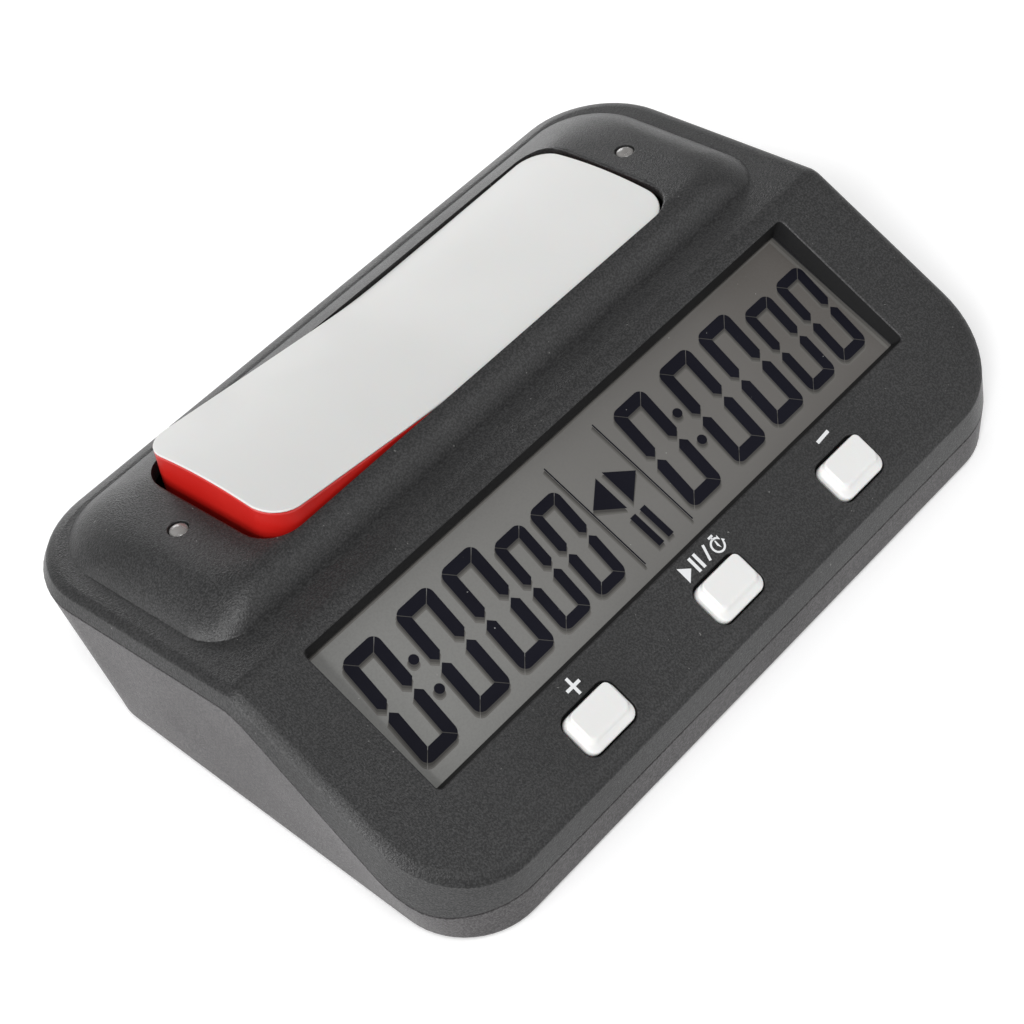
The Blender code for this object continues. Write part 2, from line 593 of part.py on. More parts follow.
def make_rocker_board():
    front, rear = RBOARD_U
    board = place("rocker_board", block(
        (-RBOARD_HALF, front, RBOARD_H - BOARD_THICK), (RBOARD_HALF, rear, RBOARD_H)), BOARD, DECK)
    for side in (-1, 1):
        x = side * RBOARD_SCREW_X
        cut(board, "board_hole", rod((x, 31.0, RBOARD_H - 3), (x, 31.0, RBOARD_H + 2), 1.4, sides=12), DECK)
        word = "left" if side < 0 else "right"
        screw(f"rocker_board_screw_{word}", (x, 31.0, RBOARD_H + GAP), (0, 0, -1), 2.2, 1.3, 1.0 - 0.1, 5.5, DECK)
        x = side * PAD_X
        half = 3.0
        top = RBOARD_H + GAP + RSWITCH_HEIGHT
        housing = place(f"rocker_switch_{word}", block(
            (x - half, ROCKER_U - half, RBOARD_H + GAP), (x + half, ROCKER_U + half, top)), INNER_PLASTIC, DECK)
        cut(housing, "rocker_switch_well", rod((x, ROCKER_U, top - 2.6), (x, ROCKER_U, top + 1), PLUNGER_R + GAP, sides=14), DECK)
        pad = PIVOT_H + PAD_LOW * math.cos(REST_TILT) - x * math.sin(REST_TILT)
        place(f"rocker_plunger_{word}", rod(
            (x, ROCKER_U, top - 1.3), (x, ROCKER_U, pad - GAP - 0.1), PLUNGER_R, PLUNGER_R - 0.4, 14), RUBBER, DECK)
        led(word, side * LED_X)
    make_detent_spring()


def screw(name, seat, direction, head_r, head_h, shank_r, length, frame=WORLD):
    """A pan-head screw: the seat is under the head, and the direction is the way the shank goes."""
    seat, direction = Vector(seat), Vector(direction)
    body = place(name, rod(seat, seat - direction * head_h, head_r, head_r * 0.75, 16), STEEL, frame)
    add(body, "screw_shank", rod(seat - direction * head_h / 2, seat + direction * length, shank_r, shank_r * 0.8, 10), frame)
    cross = seat - direction * head_h
    arm, slot = head_r * 0.55, 0.25
    for low, high in (((-arm, -slot), (arm, slot)), ((-slot, -arm), (slot, arm))):
        cut(body, "screw_slot", block(
            (cross.x + low[0], cross.y + low[1], cross.z - head_h * 0.45),
            (cross.x + high[0], cross.y + high[1], cross.z + head_h * 0.45)), frame)


def led(word, x):
    """A round lens whose dome just shows above the housing, on two long legs."""
    top = HUMP_HEIGHT + 0.1
    bm = bmesh.new()
    bmesh.ops.create_uvsphere(bm, u_segments=16, v_segments=10, radius=LED_R, matrix=Matrix.Translation((x, LED_U, top - LED_R)))
    body = place(f"led_{word}", bm, LENS, DECK)
    add(body, "led_barrel", rod((x, LED_U, top - 5.6), (x, LED_U, top - LED_R), LED_R, sides=16), DECK)
    add(body, "led_flange", rod((x, LED_U, top - 6.4), (x, LED_U, top - 5.4), LED_R + 0.35, sides=16), DECK)
    for side in (-1, 1):
        leg = x + side * 0.9
        add(body, "led_leg", rod((leg, LED_U, RBOARD_H + GAP), (leg, LED_U, top - 6.0), 0.3, sides=8), DECK)


def make_detent_spring():
    """An arched leaf under the rocker's hub."""
    high, low, thick = PIVOT_H + HUB_LOW - 0.7, RBOARD_H + GAP, 0.4
    span, u = 8.5, ROCKER_U + 8.0
    steps = 8
    rings = []
    for i in range(steps + 1):
        share = -1 + 2 * i / steps
        lift = low + (high - low) * math.cos(share * math.pi / 2) ** 2
        x = share * span
        rings.append([(x, u - 2, lift), (x, u + 2, lift), (x, u + 2, lift + thick), (x, u - 2, lift + thick)])
    place("rocker_detent_spring", loft(rings), STEEL, DECK)


# ---------------------------------------------------------------- display, buttons and main board

def make_display():
    near, far = CELL_V
    place("lcd_cell", block((-CELL_HALF, -far, CELL_TOP - CELL_THICK), (CELL_HALF, -near, CELL_TOP)), GLASS, PANEL)
    back = CELL_TOP - CELL_THICK - GAP
    place("lcd_reflector", block((-62.3, -33.5, back - REFLECTOR_THICK), (62.3, -2.9, back)), SILVER_FILM, PANEL)
    near, far = HOLDER_V
    holder = place("lcd_holder", block(
        (-HOLDER_HALF, -far, MAIN_H + GAP), (HOLDER_HALF, -near, back)), INNER_PLASTIC, PANEL)
    cut(holder, "holder_opening", block((-62.6, -33.8, MAIN_H - 1), (62.6, -2.6, back + 1)), PANEL)
    cut(holder, "strip_slot", block((-56, -36.6, MAIN_H - 1), (56, -34.6, back + 1)), PANEL)
    place("zebra_strip", block((-55.7, -36.3, MAIN_H + GAP), (55.7, -34.9, back)), RUBBER, PANEL)


def make_main_board():
    near, far = MAIN_V
    board = place("main_board", block(
        (-MAIN_HALF, -far, MAIN_H - BOARD_THICK), (MAIN_HALF, -near, MAIN_H)), BOARD, PANEL)
    under = MAIN_H - BOARD_THICK - GAP
    for number, (x, v) in enumerate(MAIN_SCREWS, 1):
        cut(board, "board_hole", rod((x, -v, MAIN_H - 4), (x, -v, MAIN_H + 2), 1.4, sides=12), PANEL)
        screw(f"main_board_screw_{number}", (x, -v, under), (0, 0, 1), 2.1, 1.2, 0.9, 5.5, PANEL)
    chip = block((-9, -24, under - 1.6), (9, -10, under), 3.0, 3)
    place("controller_chip", chip, INNER_PLASTIC, PANEL)


def make_button(name, x):
    """A key cap with a stepped top and a flange that keeps it in its hole, over a push switch."""
    half_x, half_v = BUTTON_SIZE[0] / 2, BUTTON_SIZE[1] / 2
    flange_top = -WALL - GAP
    flange_low = flange_top - 0.8
    profile = ((0.0, flange_low + 0.35), (0.0, 0.9), (1.5, 1.25), (2.0, BUTTON_TOP))
    cap = place(f"button_{name}", loft([plan_ring(
        x, -BUTTON_V, half_x - inset, half_v - inset, BUTTON_CORNER - inset / 2, height) for inset, height in profile]), WHITE, PANEL)
    add(cap, "button_flange", block(
        (x - half_x - 1.1, -BUTTON_V - half_v - 0.8, flange_low), (x + half_x + 1.1, -BUTTON_V + half_v + 0.8, flange_top)), PANEL)
    top = MAIN_H + GAP + SWITCH_HEIGHT
    housing = place(f"switch_{name}", block(
        (x - SWITCH_SIZE / 2, -BUTTON_V - SWITCH_SIZE / 2, MAIN_H + GAP),
        (x + SWITCH_SIZE / 2, -BUTTON_V + SWITCH_SIZE / 2, top - 1.4)), INNER_PLASTIC, PANEL)
    cut(housing, "switch_well", rod((x, -BUTTON_V, MAIN_H + 0.8), (x, -BUTTON_V, top), PLUNGER_R + GAP, sides=14), PANEL)
    place(f"switch_plunger_{name}", rod(
        (x, -BUTTON_V, MAIN_H + 1.9), (x, -BUTTON_V, flange_low - GAP), PLUNGER_R, sides=14), RUBBER, PANEL)


def plan_ring(x, y, half_x, half_y, radius, height, segments=3):
    """Points of a rounded rectangle at one height."""
    points = []
    for sx, sy, start in ((1, -1, -90), (1, 1, 0), (-1, 1, 90), (-1, -1, 180)):
        for i in range(segments + 1):
            turn = math.radians(start + 90 * i / segments)
            points.append((
                x + sx * (half_x - radius) + radius * math.cos(turn), y + sy * (half_y - radius) + radius * math.sin(turn), height))
    return points


def make_ribbon():
    """A flat cable from the main board's underside to the rocker board's underside."""
    route = [(-12.0, 22.6), (-9.0, 21.9), (-4.0, 21.0), (4.0, 20.6), (12.0, 20.9), (18.0, 21.3)]
    points = smooth_route([(0, y, z) for y, z in route], 3)
    rings = []
    for i, point in enumerate(points):
        ahead, behind = points[min(i + 1, len(points) - 1)], points[max(i - 1, 0)]
        normal = (ahead - behind).cross(Vector((1, 0, 0))).normalized() * 0.25
        rings.append([
            (12.0, *(point + normal).yz), (24.0, *(point + normal).yz), (24.0, *(point - normal).yz), (12.0, *(point - normal).yz)])
    place("ribbon_cable", loft(rings), RIBBON)


def make_buzzer():
    x, y = BUZZER
    body = place("buzzer", rod((x, y, FLOOR + GAP), (x, y, FLOOR + 4.6), 9.0, sides=24), INNER_PLASTIC)
    cut(body, "buzzer_port", rod((x, y, FLOOR - 1), (x, y, FLOOR + 2.2), 2.0, sides=12))


def make_fasteners_and_feet():
    bottom = FOOT_HEIGHT
    for number, (x, y, split) in enumerate(CASE_SCREWS, 1):
        screw(f"case_screw_{number}", (x, y, bottom + 3.2 - GAP), (0, 0, 1), 2.7, 1.7, 1.15, split - bottom + 2.0)
    for number, (x, y) in enumerate(FEET, 1):
        foot = rod((x, y, 0), (x, y, bottom + 0.7 - GAP), FOOT_R - 0.4, FOOT_R)
        place(f"foot_{number}", foot, RUBBER)


make_upper_case()
make_lower_case()
make_battery_cover()
make_batteries()
make_wires()
make_rocker()
make_rocker_board()
make_display()
make_main_board()
for key, place_x in (("plus", -BUTTON_X), ("play_pause", 0.0), ("minus", BUTTON_X)):
    make_button(key, place_x)
make_ribbon()
make_buzzer()
make_fasteners_and_feet()
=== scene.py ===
"""Looks for the digital chess clock: detailed shells, rocker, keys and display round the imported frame.

Lengths are in millimetres, as in the CAD model, until mesh_object turns them into metres.
"""
import math

import bmesh
import bpy
from mathutils import Matrix, Vector


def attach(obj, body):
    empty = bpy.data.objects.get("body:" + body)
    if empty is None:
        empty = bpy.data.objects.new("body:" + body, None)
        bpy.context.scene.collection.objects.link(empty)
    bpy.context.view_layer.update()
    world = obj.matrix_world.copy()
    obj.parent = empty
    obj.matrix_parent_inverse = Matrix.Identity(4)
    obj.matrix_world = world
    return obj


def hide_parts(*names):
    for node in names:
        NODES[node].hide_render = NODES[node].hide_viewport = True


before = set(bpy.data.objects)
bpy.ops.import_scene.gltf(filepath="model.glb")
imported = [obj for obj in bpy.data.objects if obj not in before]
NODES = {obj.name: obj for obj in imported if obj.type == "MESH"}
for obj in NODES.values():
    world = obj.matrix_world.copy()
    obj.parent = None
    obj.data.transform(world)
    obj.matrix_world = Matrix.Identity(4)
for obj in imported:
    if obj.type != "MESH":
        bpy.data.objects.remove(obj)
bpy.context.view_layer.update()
MM = 0.001

# ---------------------------------------------------------------- sizes

# Plan outlines: at the seam between the shells, round the top, and round the bottom.
HALF_WIDTH, SEAM_FRONT, SEAM_REAR, CORNER = 77.5, -51.7, 51.7, 17.8
TOP_HALF_WIDTH, TOP_FRONT, TOP_REAR, TOP_CORNER = 76.5, -50.95, 50.95, CORNER - 1
BASE_HALF_WIDTH, BASE_FRONT, BASE_REAR = 74.8, -51.6, 37.8
BASE_CORNER_FRONT, BASE_CORNER_REAR = 14.4, 10.0
WALL, FOOT_HEIGHT = 2.0, 1.0
FLOOR = FOOT_HEIGHT + WALL
# The rounded rim of the top: how far it reaches in, how far it drops, and its steps as shares of both.
EDGE, EDGE_DROP = 2.2, 0.8
EDGE_PROFILE = (
    (1.0, 0.0), (0.93, 0.008), (0.84, 0.04), (0.73, 0.1), (0.6, 0.19),
    (0.46, 0.31), (0.32, 0.455), (0.19, 0.63), (0.08, 0.82), (0.0, 1.0),
)
# The crease where the deck, falling to the rear, meets the panel, falling to the front.
CREASE_Y, CREASE_Z, CREASE_BLEND = -4.5, 37.1, 0.75
DECK_FALL, PANEL_FALL = math.radians(7.67), math.radians(25.7)
# The seam seen from the side: it climbs from the front to a peak, then falls to the rear.
SEAM_PEAK_Y, SEAM_PEAK_Z, SEAM_LOW = -5.7, 34.2, 8.6
SEAM_REAR_FALL, SEAM_FRONT_FALL = 0.13, 0.69
SEAM_BLEND, SEAM_LOW_BLEND = 2.5, 2.0
SEAM_GAP = 0.32
SEAM_EDGE, SEAM_BREAK = 0.13, 0.03
# The raised housing round the rocker: (inset, height) steps from its foot to its crest.
HUMP_HALF, HUMP_FRONT, HUMP_REAR, HUMP_HEIGHT = 71.3, 6.9, 53.1, 5.2
HUMP_CORNER, HUMP_REAR_CORNER = 8.5, 13.0
HUMP_PROFILE = (
    (0.0, 0.06), (0.12, 0.22), (0.38, 0.55), (0.8, 1.02), (1.4, 1.6), (2.2, 2.25), (3.2, 2.95),
    (4.3, 3.6), (5.4, 4.15), (6.5, 4.58), (7.6, 4.88), (8.8, 5.08), (10.0, 5.18), (11.4, 5.2),
)
HUMP_FRONT_SHARE, HUMP_REAR_SHARE = 0.6, 1.22
# The rocker: its plan, the height of its bend, the rise of its wings and its crown.
ROCKER_HALF, ROCKER_U, ROCKER_HALF_U, ROCKER_CORNER = 50.9, 29.65, 16.85, 6.0
PIVOT_H, REST_TILT = -3.0, math.radians(3.0)
WING_RISE, BEND_HEIGHT, BEND_SOFTNESS, CROWN = math.tan(math.radians(3.77)), 6.55, 6.0, 1.6
ROCKER_BOTTOM, ROCKER_WALL, AXLE_BORE = 1.3, 1.8, 1.8
LED_X, LED_U, LED_R = 57.9, 29.7, 1.75
# The display opening, in distances from the crease down the panel.
WINDOW_HALF, WINDOW_NEAR, WINDOW_FAR = 62.4, 2.9, 33.9
WINDOW_DRAFT, DISPLAY_DEPTH, DISPLAY_TILT = 1.3, 3.5, math.radians(-3.2)
DISPLAY_MIDDLE = 18.85
PLATE_HALF, PLATE_NEAR, PLATE_FAR = 64.3, -36.3, -1.4
OPENING_DEPTH, OPENING_LIP = 4.5, 0.25
BUTTONS = (("plus", -33.95), ("play_pause", 0.25), ("minus", 34.4))
BUTTON_V, BUTTON_HALF_X, BUTTON_HALF_V, BUTTON_CORNER = 43.68, 5.75, 3.95, 1.9
# (inset, height) steps of a key, from under the panel to the top of its raised tread.
KEY_PROFILE = (
    (0.0, -2.4), (0.0, 0.4), (0.06, 0.66), (0.22, 0.86), (0.5, 0.99), (0.9, 1.08), (1.2, 1.15),
    (1.42, 1.28), (1.62, 1.55), (1.82, 1.84), (2.02, 2.0), (2.25, 2.08), (2.55, 2.1),
)
# The underside.
CASE_SCREWS = ((-69.4, -31.5), (69.4, -31.5), (-68.8, 23.5), (68.8, 23.5))
FEET = ((-60.0, -42.0), (60.0, -42.0), (-56.0, 28.5), (56.0, 28.5))
FRONT_POST_TOP, REAR_POST_TOP = 9.85, 15.35
BAY_HALF, BAY_FRONT, BAY_REAR, BAY_TOP, BAY_WALL = 28.8, 0.3, 29.9, 18.2, 1.6
COVER_HALF, COVER_FRONT, COVER_REAR = 27.6, -1.0, BASE_REAR - 1.0
COVER_GAP, COVER_TONGUE, COVER_GROOVE = 0.35, 1.3, 1.6
BUZZER, BUZZER_RING = (46.0, -14.0), 4.0

# Frames: +Z square to the deck or the panel, +Y up its slope.
WORLD = Matrix.Identity(4)
CREASE = Matrix.Translation(Vector((0, CREASE_Y, CREASE_Z)))
DECK = CREASE @ Matrix.Rotation(-DECK_FALL, 4, "X")
PANEL = CREASE @ Matrix.Rotation(PANEL_FALL, 4, "X")
DISPLAY = (
    PANEL
    @ Matrix.Translation(Vector((0, -DISPLAY_MIDDLE, -DISPLAY_DEPTH)))
    @ Matrix.Rotation(DISPLAY_TILT, 4, "X")
    @ Matrix.Translation(Vector((0, DISPLAY_MIDDLE, 0)))
)
ROCKER = DECK @ Matrix.Translation(Vector((0, ROCKER_U, PIVOT_H))) @ Matrix.Rotation(REST_TILT, 4, "Y")


# ---------------------------------------------------------------- materials

MIX_FACTOR, MIX_FLOAT_A, MIX_FLOAT_B = 0, 2, 3
MIX_COLOUR_A, MIX_COLOUR_B, MIX_COLOUR_OUT = 6, 7, 2


class Surface:
    """A Principled material whose colour, roughness and relief come from noise in object space."""

    def __init__(self, name, colour, roughness, **fixed):
        self.material = bpy.data.materials.new(name)
        self.material.use_nodes = True
        self.tree = self.material.node_tree
        self.shader = self.tree.nodes["Principled BSDF"]
        for socket, value in fixed.items():
            self.shader.inputs[socket.replace("_", " ")].default_value = value
        self.coords = self.node("ShaderNodeTexCoord").outputs["Object"]
        self.colour, self.rough, self.relief = (*colour, 1), roughness, None

    def node(self, kind, **settings):
        made = self.tree.nodes.new(kind)
        for key, value in settings.items():
            setattr(made, key, value)
        return made

    def link(self, start, end):
        self.tree.links.new(start, end)

    def feed(self, source, socket):
        """Links what varies over the surface, and sets what is the same all over."""
        if isinstance(source, bpy.types.NodeSocket):
            self.link(source, socket)
        else:
            socket.default_value = source

    def remap(self, source, low, high, lows=0.0, highs=1.0):
        spread = self.node("ShaderNodeMapRange")
        for key, number in (("From Min", low), ("From Max", high), ("To Min", lows), ("To Max", highs)):
            spread.inputs[key].default_value = number
        self.link(source, spread.inputs["Value"])
        return spread.outputs[0]

    def noise(self, scale, detail=3.0, stretch=(1, 1, 1), low=0.35, high=0.65, highs=1.0):
        """Noise remapped so that low..high becomes 0..highs."""
        mapping = self.node("ShaderNodeMapping")
        mapping.inputs["Scale"].default_value = stretch
        self.link(self.coords, mapping.inputs["Vector"])
        made = self.node("ShaderNodeTexNoise")
        made.inputs["Scale"].default_value = scale
        made.inputs["Detail"].default_value = detail
        self.link(mapping.outputs[0], made.inputs["Vector"])
        return self.remap(made.outputs["Fac"], low, high, highs=highs)

    def axis(self, index, low, high):
        """0 to 1 along one object axis, in metres."""
        split = self.node("ShaderNodeSeparateXYZ")
        self.link(self.coords, split.inputs[0])
        return self.remap(split.outputs[index], low, high)

    def tint(self, factor, colour):
        """Mixes another colour in where the factor is high."""
        mix = self.node("ShaderNodeMix", data_type="RGBA")
        self.link(factor, mix.inputs[MIX_FACTOR])
        self.feed(self.colour, mix.inputs[MIX_COLOUR_A])
        mix.inputs[MIX_COLOUR_B].default_value = (*colour, 1)
        self.colour = mix.outputs[MIX_COLOUR_OUT]

    def scuff(self, factor, roughness):
        """Moves the roughness towards another one where the factor is high."""
        mix = self.node("ShaderNodeMix", data_type="FLOAT")
        self.link(factor, mix.inputs[MIX_FACTOR])
        self.feed(self.rough, mix.inputs[MIX_FLOAT_A])
        mix.inputs[MIX_FLOAT_B].default_value = roughness
        self.rough = mix.outputs[0]

    def bump(self, height, depth_mm, strength=1.0):
        made = self.node("ShaderNodeBump")
        made.inputs["Strength"].default_value = strength
        made.inputs["Distance"].default_value = depth_mm * MM
        self.link(height, made.inputs["Height"])
        if self.relief is not None:
            self.link(self.relief, made.inputs["Normal"])
        self.relief = made.outputs[0]

    def dust(self, scale, share, colour):
        """Sparse specks."""
        self.tint(self.noise(scale, 1.0, low=share, high=share + 0.03), colour)

    def done(self):
        self.feed(self.colour, self.shader.inputs["Base Color"])
        self.feed(self.rough, self.shader.inputs["Roughness"])
        if self.relief is not None:
            self.link(self.relief, self.shader.inputs["Normal"])
        return self.material


def darker(colour, share):
    return tuple(c * share for c in colour)


def case_plastic(name, colour, pale, shine):
    """Spark-eroded black plastic: a fine two-tone grain, faint clouds, handling marks and dust."""
    s = Surface(name, colour, 0.35, Specular_IOR_Level=shine)
    s.tint(s.noise(2800, 2, low=0.42, high=0.62), pale)
    s.tint(s.noise(38, 4, low=0.46, high=0.66, highs=0.3), darker(colour, 0.6))
    s.scuff(s.noise(30, 5, low=0.4, high=0.65, highs=0.8), 0.46)
    s.scuff(s.noise(2400, 2, low=0.5, high=0.7, highs=0.7), 0.26)
    s.dust(1300, 0.785, (0.15, 0.15, 0.145))
    s.bump(s.noise(3300, 2), 0.028)
    s.bump(s.noise(1500, 2), 0.005, 0.6)
    return s.done()


def moulded(name, colour, roughness, pale=None, grain=0.008, **fixed):
    """Smoother plastic or rubber, with slight drifts of tone and wear."""
    s = Surface(name, colour, roughness, **fixed)
    s.tint(s.noise(60, 4, highs=0.5), pale or tuple(min(c * 1.12 + 0.003, 1) for c in colour))
    s.tint(s.noise(18, 3, low=0.45, high=0.7, highs=0.3), darker(colour, 0.9))
    s.scuff(s.noise(45, 5, low=0.45, high=0.62, highs=0.6), min(roughness + 0.14, 1))
    s.bump(s.noise(1100, 3), grain, 0.6)
    return s.done()


def metal(name, colour, roughness, stretch=(1, 1, 1)):
    s = Surface(name, colour, roughness, Metallic=1.0)
    s.tint(s.noise(90, 4, highs=0.5), darker(colour, 0.75))
    s.scuff(s.noise(400, 4, stretch=stretch, low=0.4, high=0.6), min(roughness + 0.18, 1))
    s.bump(s.noise(800, 3, stretch=stretch), 0.006, 0.5)
    return s.done()


def circuit_board():
    s = Surface("circuit_board", (0.012, 0.10, 0.035), 0.38, Coat_Weight=0.4)
    tracks = s.noise(240, 0, stretch=(1, 0.15, 1), low=0.5, high=0.52)
    s.tint(tracks, (0.02, 0.18, 0.06))
    s.tint(s.noise(700, 0, low=0.72, high=0.74), (0.6, 0.58, 0.5))
    s.bump(tracks, 0.02, 0.5)
    return s.done()


def display_ground():
    """The grey display film, with painted shade that makes it darker and browner towards its right end."""
    s = Surface("display_ground", (0.203, 0.203, 0.195), 0.34, Specular_IOR_Level=0.4)
    # Painted shade: the film turns darker and browner towards its right end.
    s.tint(s.axis(0, -0.052, 0.064), (0.080, 0.071, 0.064))
    s.tint(s.noise(25, 3, low=0.4, high=0.75, highs=0.22), (0.21, 0.205, 0.20))
    s.tint(s.noise(2500, 1, low=0.4, high=0.7, highs=0.18), (0.12, 0.12, 0.115))
    s.dust(1200, 0.80, (0.42, 0.42, 0.40))
    s.scuff(s.noise(60, 3), 0.42)
    s.bump(s.noise(2600, 2), 0.003, 0.4)
    return s.done()


def display_ink_and_shadow(name, colour):
    s = Surface(name, colour, 0.4, Specular_IOR_Level=0.12)
    s.tint(s.noise(50, 3, highs=0.5), tuple(c * 1.5 + 0.001 for c in colour))
    s.dust(1300, 0.80, (0.25, 0.25, 0.25))
    s.scuff(s.noise(300, 3), 0.5)
    s.bump(s.noise(1500, 2), 0.003, 0.4)
    return s.done()


def lens():
    s = Surface("led_lens", (0.34, 0.33, 0.32), 0.14, Transmission_Weight=0.35, IOR=1.5, Coat_Weight=0.5)
    s.tint(s.noise(500, 3, highs=0.6), (0.22, 0.21, 0.20))
    s.scuff(s.noise(900, 2), 0.3)
    s.bump(s.noise(700, 2), 0.01, 0.4)
    return s.done()


def translucent(name, colour, roughness, pale):
    """White plastic that lets a little light in."""
    return moulded(name, colour, roughness, pale=pale, Subsurface_Weight=0.08, Subsurface_Scale=0.001)


CHARCOAL = case_plastic("charcoal_plastic", (0.016, 0.016, 0.0165), (0.040, 0.040, 0.0405), 0.42)
UNDER = case_plastic("charcoal_plastic_lower", (0.058, 0.0555, 0.0567), (0.104, 0.0995, 0.1015), 0.10)
WHITE = translucent("white_plastic", (0.655, 0.655, 0.645), 0.5, (0.67, 0.67, 0.657))
KEY_WHITE = translucent("key_white", (0.755, 0.755, 0.745), 0.34, (0.785, 0.785, 0.775))
RED = moulded(
    "red_plastic", (0.50, 0.010, 0.007), 0.3, pale=(0.56, 0.018, 0.012), Coat_Weight=0.2, Coat_Roughness=0.2)
PRINT = moulded("white_print", (0.74, 0.75, 0.76), 0.55, grain=0.01)
# Black of the inner parts, also used as painted shade along the display opening.
INNER_AND_SHADE = moulded("inner_black_and_shade", (0.03, 0.03, 0.032), 0.5)
# Near-black for rings set in gaps: painted shadow.
GAP_SHADOW = moulded("joint_shadow", (0.005, 0.005, 0.005), 0.8, Specular_IOR_Level=0.05)
# Near-black for the display opening's walls: painted shade.
REVEAL_SHADE = moulded("window_reveal_shade", (0.008, 0.008, 0.0085), 0.6, grain=0.02, Specular_IOR_Level=0.2)
GROUND = display_ground()
INK = display_ink_and_shadow("segment_ink", (0.0045, 0.0045, 0.009))
# Three greys for painted shadows on the display film.
SHADE = display_ink_and_shadow("segment_shade", (0.055, 0.053, 0.05))
SHADOW_MID = display_ink_and_shadow("painted_shadow_mid", (0.085, 0.082, 0.077))
SHADOW_FAINT = display_ink_and_shadow("painted_shadow_faint", (0.118, 0.114, 0.107))
LENS = lens()
BOARD = circuit_board()
STEEL = metal("steel", (0.62, 0.62, 0.63), 0.28)
SPRING_STEEL = metal("spring_steel", (0.58, 0.58, 0.60), 0.32, (1, 6, 6))
RUBBER = moulded("rubber", (0.018, 0.018, 0.018), 0.78, grain=0.02)
FILM = moulded("reflector", (0.30, 0.30, 0.27), 0.4)
WRAP = moulded("battery_wrap", (0.10, 0.11, 0.13), 0.3, Coat_Weight=0.3)
RED_WIRE = moulded("wire_red", (0.5, 0.02, 0.02), 0.4)
BLACK_WIRE = moulded("wire_black", (0.02, 0.02, 0.02), 0.4)
RIBBON = moulded("ribbon_cable", (0.38, 0.38, 0.38), 0.5)


# ---------------------------------------------------------------- mesh helpers

def mesh_object(name, bm, material, spot=WORLD):
    """An object from a bmesh in millimetres in the frame spot, with its normals facing out."""
    bmesh.ops.transform(bm, matrix=spot, verts=bm.verts)
    bmesh.ops.recalc_face_normals(bm, faces=bm.faces)
    bmesh.ops.scale(bm, vec=(MM, MM, MM), verts=bm.verts)
    mesh = bpy.data.meshes.new(name)
    bm.to_mesh(mesh)
    bm.free()
    obj = bpy.data.objects.new(name, mesh)
    bpy.context.scene.collection.objects.link(obj)
    if material:
        mesh.materials.append(material)
    return obj


def carve(obj, tools):
    """Applies (operation, bmesh, frame) steps to obj one after the other."""
    for operation, bm, spot in tools:
        tool = mesh_object("tool", bm, None, spot)
        step = obj.modifiers.new("step", "BOOLEAN")
        step.operation, step.object, step.solver = operation, tool, "EXACT"
        bpy.context.view_layer.update()
        graph = bpy.context.evaluated_depsgraph_get()
        made = bpy.data.meshes.new_from_object(obj.evaluated_get(graph))
        obj.modifiers.clear()
        old, obj.data = obj.data, made
        made.name = old.name
        bpy.data.meshes.remove(old)
        bpy.data.objects.remove(tool)


def smooth(obj, angle=32):
    """Smooth shading with true creases, weighted by face area so that flats stay flat."""
    obj.data.shade_smooth()
    obj.data.set_sharp_from_angle(angle=math.radians(angle))
    weigh = obj.modifiers.new("weigh", "WEIGHTED_NORMAL")
    weigh.keep_sharp = True
    weigh.weight = 80
    return obj


def fit(obj, body, slot, *nodes):
    """Puts a piece on its body and hides the CAD nodes that it stands for; slot is not used."""
    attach(obj, body)
    if nodes:
        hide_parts(*nodes)


def skin(rings, closed_ends=True, wrap=False):
    """Quads between rings of equal length; wrap joins the last ring to the first."""
    bm = bmesh.new()
    rows = [[bm.verts.new(point) for point in ring] for ring in rings]
    pairs = list(zip(rows, rows[1:])) + ([(rows[-1], rows[0])] if wrap else [])
    count = len(rows[0])
    for lower, upper in pairs:
        for i in range(count):
            j = (i + 1) % count
            bm.faces.new((lower[i], lower[j], upper[j], upper[i]))
    if closed_ends and not wrap:
        bm.faces.new(rows[0])
        bm.faces.new(rows[-1])
    return bm


def rounded(x, y, half_x, half_y, radius, z, segments=8, rear_radius=None):
    """A rounded rectangle at one height; rear_radius rounds the two corners on the high-y side."""
    points = []
    rear = radius if rear_radius is None else rear_radius
    for sx, sy, r, start in ((1, -1, radius, -90), (1, 1, rear, 0), (-1, 1, rear, 90), (-1, -1, radius, 180)):
        r = max(r, 0.02)
        for i in range(segments + 1):
            turn = math.radians(start + 90 * i / segments)
            points.append((
                x + sx * (half_x - r) + r * math.cos(turn),
                y + sy * (half_y - r) + r * math.sin(turn),
                z,
            ))
    return points


def disc(x, y, radius, sides):
    """The corners of a regular polygon, as a stand-in for a circle's outline."""
    turns = [2 * math.pi * i / sides for i in range(sides)]
    return [(x + radius * math.cos(turn), y + radius * math.sin(turn)) for turn in turns]


def arc_points(x, y, radius, start, end, steps=5):
    """Points along an arc, from one angle to another in degrees."""
    turns = [math.radians(start + (end - start) * i / steps) for i in range(steps + 1)]
    return [(x + radius * math.cos(turn), y + radius * math.sin(turn)) for turn in turns]


def turned(x, y, profile, sides=40):
    """A body of revolution about an upright line, from (radius, height) pairs."""
    return skin([[(px, py, z) for px, py in disc(x, y, r, sides)] for r, z in profile])


def box_form(low, high):
    (x0, y0, bottom), (x1, y1, top) = low, high
    return skin([[(x0, y0, z), (x1, y0, z), (x1, y1, z), (x0, y1, z)] for z in (bottom, top)])


def plates(shapes, low, high):
    """Thin prisms over flat outlines."""
    bm = bmesh.new()
    for shape in shapes:
        base = [bm.verts.new((x, y, low)) for x, y in shape]
        top = [bm.verts.new((x, y, high)) for x, y in shape]
        bm.faces.new(base)
        bm.faces.new(top)
        for i in range(len(shape)):
            j = (i + 1) % len(shape)
            bm.faces.new((base[i], base[j], top[j], top[i]))
    return bm


# ---------------------------------------------------------------- case

